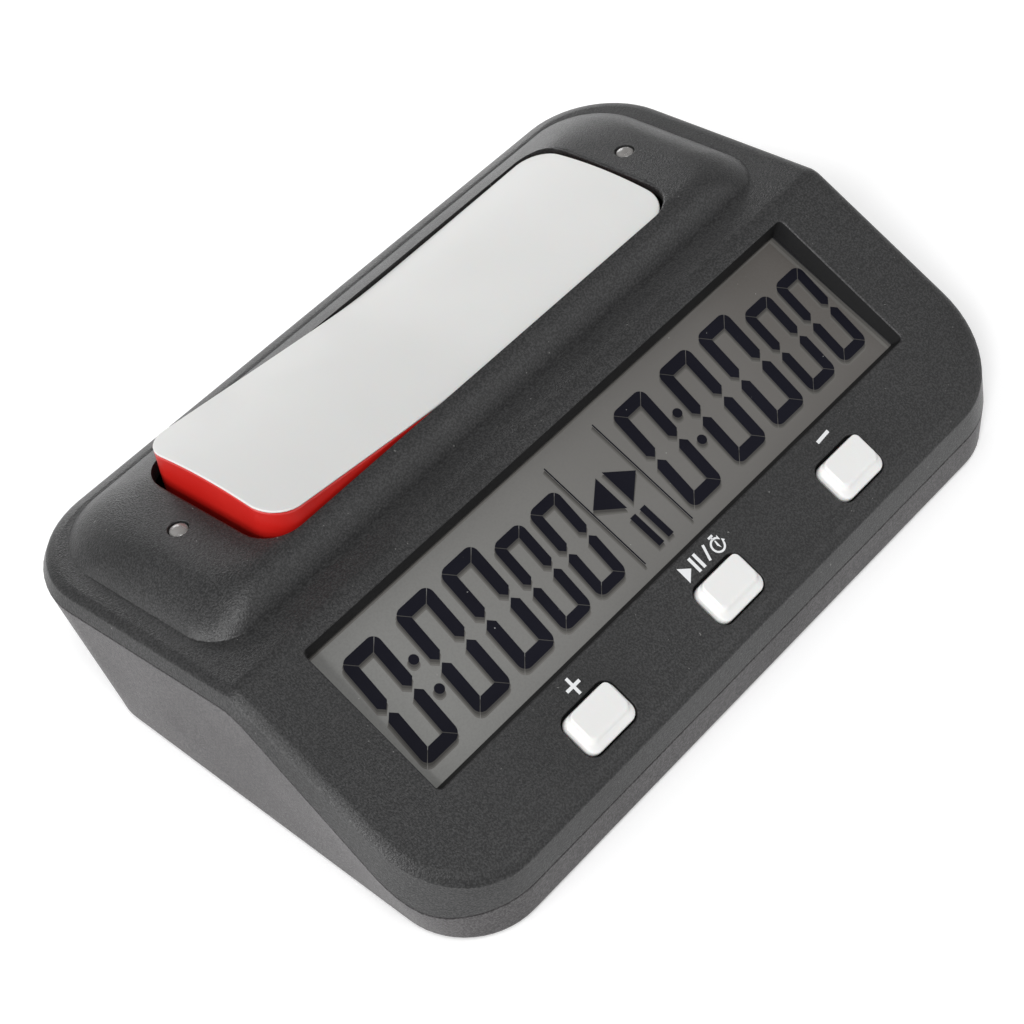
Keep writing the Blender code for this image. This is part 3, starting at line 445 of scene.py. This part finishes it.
def soft_min(a, b, blend):
    overlap = max(blend - abs(a - b), 0.0)
    return min(a, b) - overlap * overlap / (4 * blend)


def slopes(y):
    """Heights at y of the deck's plane and of the panel's."""
    return CREASE_Z - (y - CREASE_Y) * math.tan(DECK_FALL), CREASE_Z + (y - CREASE_Y) * math.tan(PANEL_FALL)


def top_height(y):
    return soft_min(*slopes(y), CREASE_BLEND)


def under_height(y, depth):
    """Height of the surface that lies depth inside the top."""
    deck, panel = slopes(y)
    return min(deck - depth / math.cos(DECK_FALL), panel - depth / math.cos(PANEL_FALL))


def seam_height(y):
    rear = SEAM_PEAK_Z - SEAM_REAR_FALL * (y - SEAM_PEAK_Y)
    front = SEAM_PEAK_Z + SEAM_FRONT_FALL * (y - SEAM_PEAK_Y)
    return -soft_min(-soft_min(rear, front, SEAM_BLEND), -SEAM_LOW, SEAM_LOW_BLEND)


# Where each outline has points along its sides, closest together at the crease, and its steps per corner.
CREASE_STEPS = [CREASE_Y + 0.3 * i for i in range(-5, 6)]
STATIONS = [-32.0, -28, -24, -20, -16, -13, -11, -9.5, -8.3, -7.2]
STATIONS += CREASE_STEPS + [-2.0, 0, 4, 9, 15, 21, 26.5]
ARC = 14


def outline(half, front, rear, front_corner, rear_corner, inset):
    """A rounded plan outline, anticlockwise from the front right corner, with points at the stations."""
    half, front, rear = half - inset, front + inset, rear - inset
    f, r = max(front_corner - inset, 0.5), max(rear_corner - inset, 0.5)
    corners = (
        (half - f, front + f, f, -90), (half - r, rear - r, r, 0),
        (r - half, rear - r, r, 90), (f - half, front + f, f, 180),
    )
    points = []
    for x, y, radius, start in corners:
        if start == 0:
            points += [(half, s) for s in STATIONS]
        if start == 180:
            points += [(-half, s) for s in reversed(STATIONS)]
        for i in range(ARC + 1):
            turn = math.radians(start + 90 * i / ARC)
            points.append((x + radius * math.cos(turn), y + radius * math.sin(turn)))
    return points


def top_outline(inset=0.0):
    return outline(TOP_HALF_WIDTH, TOP_FRONT, TOP_REAR, TOP_CORNER, TOP_CORNER, inset)


def seam_outline(inset=0.0):
    return outline(HALF_WIDTH, SEAM_FRONT, SEAM_REAR, CORNER, CORNER, inset)


def base_outline(inset=0.0):
    return outline(BASE_HALF_WIDTH, BASE_FRONT, BASE_REAR, BASE_CORNER_FRONT, BASE_CORNER_REAR, inset)


def lift(points, height):
    """Gives each point its height, a number or a function of y."""
    return [(x, y, height(y) if callable(height) else height) for x, y in points]


def seam_level(offset):
    return lambda y: seam_height(y) + offset


def shell(rings, folded):
    """A closed shell; an end marked folded is made of strips between the side stations."""
    bm = skin(rings, closed_ends=False)
    bm.verts.ensure_lookup_table()
    count, side = len(rings[0]), len(STATIONS)
    for start, fold in ((0, folded[0]), (count * (len(rings) - 1), folded[1])):
        row = [bm.verts[start + i] for i in range(count)]
        if not fold:
            bm.faces.new(row)
            continue
        right = list(range(ARC + 1, ARC + 1 + side))
        left = list(range(count - ARC - 2, count - ARC - 2 - side, -1))
        bm.faces.new([row[i] for i in list(range(left[0], count)) + list(range(right[0] + 1))])
        bm.faces.new([row[i] for i in range(right[-1], left[-1] + 1)])
        for k in range(side - 1):
            bm.faces.new((row[right[k]], row[right[k + 1]], row[left[k + 1]], row[left[k]]))
    return bm


def hump_ring(inset, z):
    """One level of the raised housing; its front shoulder is the shortest and its rear one the longest."""
    near, far = HUMP_FRONT + inset * HUMP_FRONT_SHARE, HUMP_REAR - inset * HUMP_REAR_SHARE
    front_corner, rear_corner = HUMP_CORNER - inset * 0.1, HUMP_REAR_CORNER - inset * 0.05
    half_v = (far - near) / 2
    return rounded(0, (near + far) / 2, HUMP_HALF - inset, half_v, front_corner, z, 12, rear_corner)


def hump(skin_depth=0.0):
    """The raised housing: a steep crisp foot, a long slope and a soft crest."""
    foot = [hump_ring(skin_depth, -6)] if skin_depth else [hump_ring(-0.1, -0.6), hump_ring(-0.1, -0.03)]
    return skin(foot + [hump_ring(inset + skin_depth, rise - skin_depth) for inset, rise in HUMP_PROFILE])


def flared(x, y, half_x, half_y, radius, surface, depth, lip, draft=0.0, segments=8):
    """A cutter for an opening whose rim is rounded over by lip and whose walls lean in by draft."""
    def ring(out, z):
        return rounded(x, y, half_x + out, half_y + out, max(radius + out, 0.1), z, segments)

    rings = [ring(lip * 1.8, surface + 1.5)]
    for angle in (0, 22, 45, 68, 90):
        turn = math.radians(angle)
        rings.append(ring(lip * (1 - math.sin(turn)), surface - lip * (1 - math.cos(turn))))
    return skin(rings + [ring(-draft, surface - depth)])


def led_bore():
    """(radius, height) steps of a lens's hole: a countersink, then a close bore."""
    top = HUMP_HEIGHT
    return (
        (LED_R + 0.9, top + 0.8), (LED_R + 0.22, top + 0.01), (LED_R + 0.12, top - 0.12),
        (LED_R + 0.1, top - 0.4), (LED_R + 0.1, top - 5),
    )


def make_upper():
    edge = SEAM_GAP / 2
    rings = []
    for out, down in EDGE_PROFILE:
        rings.append(lift(top_outline(EDGE * out), lambda y, drop=down: top_height(y) - drop * EDGE_DROP))
    rings.append(lift(seam_outline(SEAM_BREAK), lambda y: seam_height(y) + edge + 0.12))
    rings.append(lift(seam_outline(SEAM_EDGE), seam_level(edge)))

    def lip(y):
        return min(seam_height(y) + edge + 1.0, under_height(y, WALL) - 0.2)

    rings.append(lift(seam_outline(1.5), seam_level(edge)))
    rings.append(lift(seam_outline(1.5), lip))
    rings.append(lift(seam_outline(3.1), lip))
    rings.append(lift(top_outline(WALL), lambda y: under_height(y, WALL)))
    case = mesh_object("upper_shell", shell(rings, (True, True)), CHARCOAL)
    # The rocker's well, the frame behind the display opening, and the opening itself.
    well_x, well_u, well_corner = ROCKER_HALF + 1.6, ROCKER_HALF_U + 0.4, ROCKER_CORNER + 0.8
    well_depth, well_lip = 12, 0.5
    well = flared(0, ROCKER_U, well_x, well_u, well_corner, HUMP_HEIGHT, well_depth, well_lip)
    frame_half, frame_near, frame_far, frame_low, frame_high = 64.6, -36.2, -1.2, -3.42, -1.2
    window_frame = box_form((-frame_half, frame_near, frame_low), (frame_half, frame_far, frame_high))
    window_v, window_half_v = -(WINDOW_NEAR + WINDOW_FAR) / 2, (WINDOW_FAR - WINDOW_NEAR) / 2
    window = flared(
        0, window_v, WINDOW_HALF, window_half_v, 0.9, 0, OPENING_DEPTH, OPENING_LIP, WINDOW_DRAFT, 5)
    steps = [
        ("UNION", hump(), DECK),
        ("DIFFERENCE", hump(WALL), DECK),
        ("UNION", window_frame, PANEL),
        ("DIFFERENCE", well, DECK),
        ("DIFFERENCE", window, PANEL),
    ]
    gap_x, gap_v = 0.5, 0.45
    for _, x in BUTTONS:
        opening = flared(
            x + 0.12, 0.1 - BUTTON_V, BUTTON_HALF_X + gap_x, BUTTON_HALF_V + gap_v, BUTTON_CORNER + gap_v,
            0, OPENING_DEPTH, OPENING_LIP)
        steps.append(("DIFFERENCE", opening, PANEL))
    for side in (-1, 1):
        steps.append(("DIFFERENCE", turned(side * LED_X, LED_U, led_bore()), DECK))
    carve(case, steps)
    paint_window_shade(case)
    fit(smooth(case), "case", "charcoal_case", "upper_case")


def paint_window_shade(case):
    """Paints the walls of the display opening near-black and smoother than the skin outside: painted shade.
    """
    case.data.materials.append(REVEAL_SHADE)
    to_panel = PANEL.inverted()
    for face in case.data.polygons:
        x, v, depth = to_panel @ (face.center / MM)
        across, along = abs(x) < WINDOW_HALF + 0.1, -WINDOW_FAR - 0.1 < v < 0.1 - WINDOW_NEAR
        if across and along and -3.3 < depth < -0.25:
            face.material_index = 1


def make_seam():
    """A black ring set inside the gap between the two shells: painted shadow in the joint."""
    half, outer, inner = SEAM_GAP / 2 + 0.08, 0.45, 1.3
    corners = ((outer, -half), (outer, half), (inner, half), (inner, -half))
    rings = [lift(seam_outline(inset), seam_level(offset)) for inset, offset in corners]
    fit(mesh_object("seam_line", skin(rings, wrap=True), GAP_SHADOW), "case", "charcoal_case")


def make_lower():
    edge, bottom = SEAM_GAP / 2, FOOT_HEIGHT

    def inner_lip(y):
        return min(seam_height(y) + edge + 0.6, under_height(y, WALL) - 0.6)

    heel = ((0.7, 0), (0.42, 0.08), (0.16, 0.3), (0.03, 0.62), (0.0, 0.95))
    rings = [lift(base_outline(inset), bottom + rise) for inset, rise in heel]
    rings += [
        lift(seam_outline(SEAM_BREAK), lambda y: seam_height(y) - edge - 0.12),
        lift(seam_outline(SEAM_EDGE), seam_level(-edge)),
        lift(seam_outline(1.8), seam_level(-edge)),
        lift(seam_outline(1.8), inner_lip),
        lift(seam_outline(2.8), inner_lip),
        lift(base_outline(WALL + 0.4), FLOOR),
    ]
    case = mesh_object("lower_shell", shell(rings, (False, False)), UNDER)
    outer, front, rear = BAY_HALF + BAY_WALL, BAY_FRONT - BAY_WALL, BAY_REAR + BAY_WALL
    recess, recess_front = COVER_HALF + COVER_GAP, COVER_FRONT - COVER_GAP
    groove, groove_front = COVER_HALF + COVER_GROOVE, COVER_FRONT - COVER_GROOVE
    past_rear, cover_top = BASE_REAR + 8, FLOOR + 0.3
    # The bay's walls, the sill over the cover's way out, the bay, the cover's recess and its grooves.
    boxes = (
        ("UNION", (-outer, front, bottom + 0.6), (outer, rear, BAY_TOP + BAY_WALL)),
        ("UNION", (-31.0, 30.4, bottom + 1), (31.0, BASE_REAR - 0.5, FLOOR + WALL)),
        ("DIFFERENCE", (-BAY_HALF, BAY_FRONT, FLOOR), (BAY_HALF, BAY_REAR, BAY_TOP)),
        ("DIFFERENCE", (-recess, recess_front, bottom - 2), (recess, past_rear, cover_top)),
        ("DIFFERENCE", (-groove, groove_front, bottom + 0.7), (groove, past_rear, cover_top)),
    )
    steps = [(operation, box_form(low, high), WORLD) for operation, low, high in boxes]
    for x, y in CASE_SCREWS:
        top = FRONT_POST_TOP if y < 0 else REAR_POST_TOP
        head = ((3.9, bottom - 0.6), (3.35, bottom), (3.1, bottom + 0.3), (3.1, bottom + 3.2))
        steps.append(("UNION", turned(x, y, ((4.0, bottom + 0.6), (4.0, top)), 32), WORLD))
        steps.append(("DIFFERENCE", turned(x, y, head), WORLD))
        steps.append(("DIFFERENCE", turned(x, y, ((1.6, bottom), (1.6, top + 2)), 24), WORLD))
    for x, y in FEET:
        seat = ((5.9, bottom - 0.4), (5.45, bottom), (5.3, bottom + 0.2), (5.3, bottom + 0.7))
        steps.append(("DIFFERENCE", turned(x, y, seat), WORLD))
    hole = ((1.5, bottom - 0.4), (1.1, bottom), (0.9, bottom + 0.2), (0.9, FLOOR + 1))
    for x, y in [BUZZER] + arc_points(*BUZZER, BUZZER_RING, 60, 360):
        steps.append(("DIFFERENCE", turned(x, y, hole, 24), WORLD))
    carve(case, steps)
    fit(smooth(case), "case", "charcoal_case", "lower_case")


def make_cover():
    """The battery cover, with tongues in the case's grooves, finger grooves and an arrow to the rear."""
    bottom = FOOT_HEIGHT
    middle, half_y = (COVER_FRONT + COVER_REAR) / 2, (COVER_REAR - COVER_FRONT) / 2
    edge = ((0.35, bottom), (0.1, bottom + 0.1), (0.0, bottom + 0.35), (0.0, FLOOR))
    rings = [rounded(0, middle, COVER_HALF - i, half_y - i, 0.6, z, 4) for i, z in edge]
    cover = mesh_object("battery_door_panel", skin(rings), UNDER)
    tongue, tongue_front, tongue_rear = COVER_HALF + COVER_TONGUE, COVER_FRONT - COVER_TONGUE, BASE_REAR - 5
    tongues = box_form((-tongue, tongue_front, bottom + 1.0), (tongue, tongue_rear, FLOOR - 0.01))
    steps = [("UNION", tongues, WORLD)]
    groove = ((-0.55, -0.3), (0.55, -0.3), (0.35, 0.3), (0, 0.42), (-0.35, 0.3))
    groove_y, groove_pitch, groove_half = BASE_REAR - 7.0, 1.8, 9
    for i in range(5):
        y, half = groove_y - groove_pitch * i, groove_half - 0.2 * i
        cutter = skin([[(x, y + dy, bottom + dz) for dy, dz in groove] for x in (-half, half)])
        steps.append(("DIFFERENCE", cutter, WORLD))
    tip, barb, tail = BASE_REAR - 20.5, BASE_REAR - 24.5, BASE_REAR - 28.5
    arrow = [(0, tip), (-3, barb), (-1.2, barb), (-1.2, tail), (1.2, tail), (1.2, barb), (3, barb)]
    steps.append(("DIFFERENCE", plates([arrow], bottom - 0.5, bottom + 0.35), WORLD))
    carve(cover, steps)
    fit(smooth(cover), "battery_door", "charcoal_case", "battery_cover")


# ---------------------------------------------------------------- rocker and keys

def rocker_top(x):
    return BEND_HEIGHT + WING_RISE * (math.hypot(x, BEND_SOFTNESS) - BEND_SOFTNESS)


def rocker_grid(inset, lower_by, columns=64, rows=20):
    """Points of the crowned top, shrunk by inset and lowered, on a grid that follows the rounded plan."""
    half, half_u = ROCKER_HALF - inset, ROCKER_HALF_U - inset
    radius = max(ROCKER_CORNER - inset, 0.6)
    grid = []
    for i in range(columns + 1):
        share = -1 + 2 * i / columns
        x = half * (1.5 * share - 0.5 * share ** 3)  # closer together towards the ends
        beyond = max(abs(x) - (half - radius), 0.0)
        wide = half_u - radius + math.sqrt(max(radius * radius - beyond * beyond, 0.0))
        row = []
        for j in range(rows + 1):
            u = (-1 + 2 * j / rows) * wide
            row.append((x, u, rocker_top(x) + CROWN * (1 - (u / ROCKER_HALF_U) ** 2) - lower_by))
        grid.append(row)
    return grid


def border(grid):
    """The points round the edge of a grid, in order."""
    n, m = len(grid) - 1, len(grid[0]) - 1
    near, far = [row[0] for row in grid], [grid[i][m] for i in range(n - 1, -1, -1)]
    return near + grid[n][1:] + far + [grid[0][j] for j in range(m - 1, 0, -1)]


def slab(layers):
    """A body whose top and bottom are grids and whose sides run through the grids' borders."""
    bm = bmesh.new()
    top = [[bm.verts.new(p) for p in row] for row in layers[0]]
    bottom = [[bm.verts.new(p) for p in row] for row in layers[-1]]
    for grid in (top, bottom):
        for a, b in zip(grid, grid[1:]):
            for j in range(len(a) - 1):
                bm.faces.new((a[j], a[j + 1], b[j + 1], b[j]))
    loops = [border(top)] + [[bm.verts.new(p) for p in border(g)] for g in layers[1:-1]] + [border(bottom)]
    for upper, lower in zip(loops, loops[1:]):
        for i in range(len(upper)):
            j = (i + 1) % len(upper)
            bm.faces.new((upper[i], upper[j], lower[j], lower[i]))
    bmesh.ops.remove_doubles(bm, verts=bm.verts, dist=0.01)
    return bm


def make_rocker():
    cap_edge = (
        (0.26, 0.0), (0.12, 0.03), (0.03, 0.1), (0.0, 0.2),
        (0.0, 0.34), (0.08, 0.42), (0.2, 0.46), (0.5, 0.5),
    )
    cap = mesh_object("rocker_top_plate", slab([rocker_grid(i, z) for i, z in cap_edge]), WHITE, ROCKER)
    fit(smooth(cap, 60), "rocker", "white_cap", "rocker_cap")

    def flat(grid, z):
        return [[(x, u, z) for x, u, _ in row] for row in grid]

    layers = [rocker_grid(i, z) for i, z in ((0.6, 0.53), (0.16, 0.56), (0.05, 0.68), (0.0, 0.95))]
    layers += [flat(rocker_grid(0.0, 0), ROCKER_BOTTOM + 0.3), flat(rocker_grid(0.3, 0), ROCKER_BOTTOM)]
    body = mesh_object("rocker_shell", slab(layers), RED, ROCKER)
    hollow = slab([
        rocker_grid(ROCKER_WALL, 2.9, 24, 6), flat(rocker_grid(ROCKER_WALL, 0, 24, 6), ROCKER_BOTTOM - 1)])
    hub = box_form((-4.5, -15.9, -3.2), (4.5, 15.9, 5.2))
    steps = [("DIFFERENCE", hollow, ROCKER), ("UNION", hub, ROCKER)]
    for x in (-8.3, 8.3):
        steps.append(("UNION", box_form((x - 1.7, -3, -1), (x + 1.7, 3, 5.6)), ROCKER))
    bore = skin([[(x, y, z) for x, z in disc(0, 0, AXLE_BORE, 24)] for y in (-20, 20)])
    steps.append(("DIFFERENCE", bore, ROCKER))
    carve(body, steps)
    fit(smooth(body, 40), "rocker", "red_rocker", "rocker_body")


def make_keys():
    """The keys, each with a stepped tread, a flange under the panel and a black ring in its gap as painted
    shade.
    """
    for name, x in BUTTONS:
        rings = [
            rounded(x, -BUTTON_V, BUTTON_HALF_X + 1.1, BUTTON_HALF_V + 0.8, 0.6, z, 8) for z in (-3.1, -2.35)]
        for i, z in KEY_PROFILE:
            left, right, near, far = 0.62 * i, 0.4 * i, i, 0.06 * i
            rings.append(rounded(
                x + (left - right) / 2, -BUTTON_V + (near - far) / 2,
                BUTTON_HALF_X - (left + right) / 2, BUTTON_HALF_V - (near + far) / 2,
                BUTTON_CORNER - i * 0.4, z, 8))
        key = mesh_object("key_" + name, skin(rings), KEY_WHITE, PANEL)
        fit(smooth(key, 50), name + "_key", "white_cap", "button_" + name)
        # A near-black ring in the key's gap: painted shade.
        shade_ring = []
        for shift, out, z in ((0.1, 0.75, -1.3), (0.1, 0.75, -0.8), (0, 0.07, -0.8), (0, 0.07, -1.3)):
            shade_ring.append(rounded(
                x + shift, shift - BUTTON_V,
                BUTTON_HALF_X + out, BUTTON_HALF_V + out, BUTTON_CORNER + out, z, 8))
        fit(mesh_object("gap_shade_" + name, skin(shade_ring, wrap=True), GAP_SHADOW, PANEL), "case", "charcoal_case")


def make_leds():
    top, dome = HUMP_HEIGHT + 0.1, 0.7
    profile = [(LED_R + 0.35, top - 6.4), (LED_R + 0.35, top - 5.5), (LED_R, top - 5.4)]
    for angle in (0, 15, 30, 45, 60, 72, 82, 88):
        turn = math.radians(angle)
        profile.append((LED_R * math.cos(turn), top - dome + dome * math.sin(turn)))
    for side, word in ((-1, "left"), (1, "right")):
        piece = mesh_object("lens_" + word, turned(side * LED_X, LED_U, profile, 32), LENS, DECK)
        fit(smooth(piece, 40), "case", "led_lens", "led_" + word)


# ---------------------------------------------------------------- display and printed marks

SLANT, MITRE_GAP, MIDDLE_GAP, DIGIT_CORNER = math.radians(5.6), 0.1, 0.3, 1.65


def zero_digit(cx, cy, width, height, stroke):
    """The six lit segments of a nought: mitred corners, rounded outside, and pointed ends at the middle."""
    w, h, s, gap, corner = width / 2, height / 2, stroke, MITRE_GAP, DIGIT_CORNER
    rim = arc_points(-w + corner, h - corner, corner, 135, 90)
    across = [(x + gap, y) for x, y in rim]
    across += [(-x, y) for x, y in reversed(across)] + [(w - s - gap, h - s), (-w + s + gap, h - s)]
    down = [(x, y - gap) for x, y in arc_points(-w + corner, h - corner, corner, 180, 135)]
    shoulder = MIDDLE_GAP + s * 0.48
    down += [(-w + s, h - s - gap), (-w + s, shoulder), (-w + s / 2, MIDDLE_GAP), (-w, shoulder)]
    shapes = [across, [(x, -y) for x, y in across]]
    shapes += [[(sx * x, sy * y) for x, y in down] for sx in (1, -1) for sy in (1, -1)]
    lean = math.tan(SLANT)
    return [[(cx + x + y * lean, cy + y) for x, y in shape] for shape in shapes]


def bar(x0, y0, x1, y1, width):
    """A straight stroke between two points."""
    along = Vector((x1 - x0, y1 - y0)).normalized()
    side = Vector((-along.y, along.x)) * width / 2
    return [
        (x0 + side.x, y0 + side.y), (x1 + side.x, y1 + side.y),
        (x1 - side.x, y1 - side.y), (x0 - side.x, y0 - side.y),
    ]


def display_shapes():
    """The lit segments: two times of hours, minutes and smaller seconds, and the signs between them."""
    shapes = []
    big, small = (-18.78, 8.35, 21.95, 2.35), (-20.17, 7.2, 19.15, 2.0)
    rows = (((-54.7, -42.0, -30.95, 13.6, 26.2, 37.2), big), ((-21.15, -12.0, 46.95, 56.15), small))
    for places, digit in rows:
        for x in places:
            shapes += zero_digit(x, *digit)
    dots, dot_radius = ((-48.1, -15.55), (-48.65, -21.9), (20.2, -15.55), (19.65, -21.9)), 0.92
    shapes += [disc(x, y, dot_radius, 24) for x, y in dots]
    rule_x, sign_x = 0.37, 0.32
    for side in (-1, 1):
        rule, stop = rule_x + side * 6.37, sign_x + side * 1.27
        flat, tip = sign_x + side * 0.85, sign_x + side * 5.72
        shapes.append(bar(rule, -6.9, rule, -30.7, 0.24))
        shapes.append([(flat, -14.15), (tip, -17.9), (flat, -21.6)])
        shapes.append(bar(stop, -23.25, stop, -30.1, 1.33))
    return shapes


def swell(shape, out):
    """The outline pushed outwards by about out, from its centre."""
    cx, cy = sum(p[0] for p in shape) / len(shape), sum(p[1] for p in shape) / len(shape)
    return [(x + math.copysign(out, x - cx), y + math.copysign(out, y - cy)) for x, y in shape]


def make_display():
    """The film, the segments with their soft shadows on it, and the shade along the opening's walls."""
    middle, half_v = (PLATE_NEAR + PLATE_FAR) / 2, (PLATE_FAR - PLATE_NEAR) / 2
    edge_steps, corner = ((0, -0.9), (0, -0.1), (0.1, 0.0)), 0.5
    rings = [rounded(0, middle, PLATE_HALF - i, half_v - i, corner, z, 3) for i, z in edge_steps]
    ground = mesh_object("display_plate", skin(rings), GROUND, DISPLAY)
    fit(smooth(ground), "case", "display_glass", "lcd_cell")

    def film(name, shapes, low, high, material):
        fit(mesh_object(name, plates(shapes, low, high), material, DISPLAY), "case", "display_glass")

    shapes = display_shapes()
    # Painted shadows: grey films, offset from each segment and widened step by step.
    for name, out, shift, top, material in (
        ("segment_shadow_far", 0.16, 0.62, 0.008, SHADOW_FAINT),
        ("segment_shadow_mid", 0.08, 0.48, 0.014, SHADOW_MID),
        ("segment_shadow_near", 0.0, 0.34, 0.02, SHADE),
    ):
        shadows = [[(x - shift, y - shift) for x, y in swell(shape, out)] for shape in shapes]
        film(name, shadows, -0.01, top, material)
    film("segments", shapes, -0.005, 0.05, INK)
    # Painted shade: dark strips along the right and far walls of the opening.
    end, edge = PLATE_HALF - 0.2, -1.8
    for name, left, low, top, material in (
        ("edge_shade_far", 60.2, -4.3, 0.008, SHADOW_FAINT),
        ("edge_shade_mid", 60.8, -4.0, 0.014, SHADOW_MID),
        ("edge_shade_near", 61.4, -3.7, 0.02, INNER_AND_SHADE),
    ):
        right_strip = [(left, PLATE_NEAR), (end, PLATE_NEAR), (end, edge), (left, edge)]
        far_strip = [(-end, low), (left, low), (left, edge), (-end, edge)]
        film(name, [right_strip, far_strip], -0.01, top, material)


def make_marks():
    """The white signs above the keys: plus, minus, play, pause and a stopwatch."""
    plus_x, plus_v = -33.01, -36.86
    shapes = [bar(plus_x - 1.59, plus_v, plus_x + 1.59, plus_v, 0.6)]
    shapes += [bar(plus_x, start, plus_x, end, 0.6) for start, end in ((-35.15, -36.56), (-37.16, -38.55))]
    shapes.append(bar(33.62, -36.5, 36.94, -36.28, 0.66))
    shapes.append([(-4.07, -35.04), (-2.0, -36.68), (-4.07, -38.36)])
    shapes += [bar(x, -35.14, x, -38.18, 0.64) for x in (-1.04, 0.18)]
    shapes.append(bar(2.78, -35.2, 1.75, -38.0, 0.5))
    watch_x, watch_v, outer, inner, parts = 4.89, -37.0, 1.46, 1.08, 30
    for i in range(1, parts - 1):
        a, b = (math.radians(40 + 320 * k / parts) for k in (i, i + 1))
        corners = ((outer, a), (outer, b), (inner, b), (inner, a))
        shapes.append([(watch_x + r * math.cos(turn), watch_v + r * math.sin(turn)) for r, turn in corners])
    gap_end = [(5.55, -36.1), (6.05, -35.6), (6.0, -36.6)]
    arrow = [(5.95, -37.35), (6.68, -37.1), (6.25, -36.55)]
    hand = [(4.95, -36.05), (5.15, -36.15), (5.12, -37.7), (4.72, -37.0)]
    stem, crown = bar(watch_x, -35.75, watch_x, -35.2, 0.4), bar(4.35, -35.15, 5.43, -35.15, 0.42)
    shapes += [gap_end, hand, stem, crown, arrow]
    fit(mesh_object("key_marks", plates(shapes, -0.02, 0.025), PRINT, PANEL), "case", "white_cap")


def make_feet():
    profile = ((4.3, 0.0), (4.65, 0.06), (4.85, 0.22), (4.95, 0.45), (5.0, 0.8), (5.0, 1.4))
    for number, (x, y) in enumerate(FEET, 1):
        foot = mesh_object(f"rubber_foot_{number}", turned(x, y, profile), RUBBER)
        fit(smooth(foot, 40), "case", "rubber", f"foot_{number}")


# ---------------------------------------------------------------- carried-over nodes

def paint_nodes():
    """Materials for the CAD nodes that stay; the screws and the axle are plain steel."""
    finishes = (
        (BOARD, "main_board", "rocker_board"),
        (INNER_AND_SHADE, "lcd_holder", "controller_chip", "buzzer", "rocker_switch_left", "rocker_switch_right",
         "switch_plus", "switch_play_pause", "switch_minus"),
        (RUBBER, "zebra_strip", "rocker_plunger_left", "rocker_plunger_right",
         "switch_plunger_plus", "switch_plunger_play_pause", "switch_plunger_minus"),
        (SPRING_STEEL, "battery_spring_1", "battery_spring_2", "rocker_detent_spring",
         "contact_link", "contact_positive", "contact_negative"),
        (FILM, "lcd_reflector"),
        (WRAP, "battery_1", "battery_2"),
        (RIBBON, "ribbon_cable"),
        (RED_WIRE, "battery_wire_positive"),
        (BLACK_WIRE, "battery_wire_negative"),
    )
    named = {name: material for material, *names in finishes for name in names}
    for name, node in NODES.items():
        if not node.hide_render:
            node.data.materials.clear()
            node.data.materials.append(named.get(name, STEEL))


# ---------------------------------------------------------------- studio

def make_floor():
    """A pale dish 6 m across, flat in the middle and turned up at its rim so that no horizon shows."""
    s = Surface(
        "studio_floor", (0.93, 0.93, 0.93), 0.7, Emission_Color=(1, 1, 1, 1), Emission_Strength=0.21)
    s.tint(s.noise(8, 3, highs=0.4), (0.915, 0.915, 0.92))
    s.bump(s.noise(300, 3), 0.02, 0.2)
    dish = ((3000, -12), (3000, 200), (2980, 200), (2500, 0), (2400, 0))
    bm = skin([rounded(0, 0, half, half, 400, z, 8) for half, z in dish])
    floor = mesh_object("studio_floor", bm, s.done())


def make_lights():
    world = bpy.data.worlds.new("studio")
    bpy.context.scene.world = world
    world.use_nodes = True
    background = world.node_tree.nodes["Background"]
    background.inputs["Color"].default_value = (1.0, 1.0, 1.0, 1)
    background.inputs["Strength"].default_value = 0.38
    for name, source, spread, power in (
        ("overhead", (-0.20, -0.28, 0.94), 13, 0.80),
        ("left", (-0.94, 0.20, 0.27), 46, 1.9),
        ("front_left", (-0.67, -0.30, 0.68), 10, 1.0),
        ("front_right", (0.45, -0.60, 0.66), 12, 0.25),
        ("backdrop", (0.45, 0.88, 0.18), 24, 0.66),
    ):
        data = bpy.data.lights.new(name, "SUN")
        data.angle, data.energy = math.radians(spread), power
        light = bpy.data.objects.new(name, data)
        light.rotation_euler = Vector(source).to_track_quat("Z", "Y").to_euler()
        bpy.context.scene.collection.objects.link(light)


def make_camera():
    """The photo's camera: its place and its axes, as fitted to the object's corners."""
    data = bpy.data.cameras.new("camera")
    data.lens, data.sensor_width, data.clip_start = 87.9, 36.0, 0.01
    camera = bpy.data.objects.new("camera", data)
    place = Vector((-0.20659, -0.20674, 0.35022))
    right, up = Vector((0.65663, -0.75098, -0.06969)), Vector((0.60385, 0.46811, 0.64517))
    axes = Matrix((right, up, right.cross(up))).transposed()
    camera.matrix_world = Matrix.Translation(place) @ axes.to_4x4()
    bpy.context.scene.collection.objects.link(camera)
    bpy.context.scene.camera = camera


make_upper()
make_lower()
make_seam()
make_cover()
make_rocker()
make_keys()
make_leds()
make_display()
make_marks()
make_feet()
paint_nodes()
make_floor()
make_lights()
make_camera()
bpy.context.scene.view_settings.view_transform = "Standard"
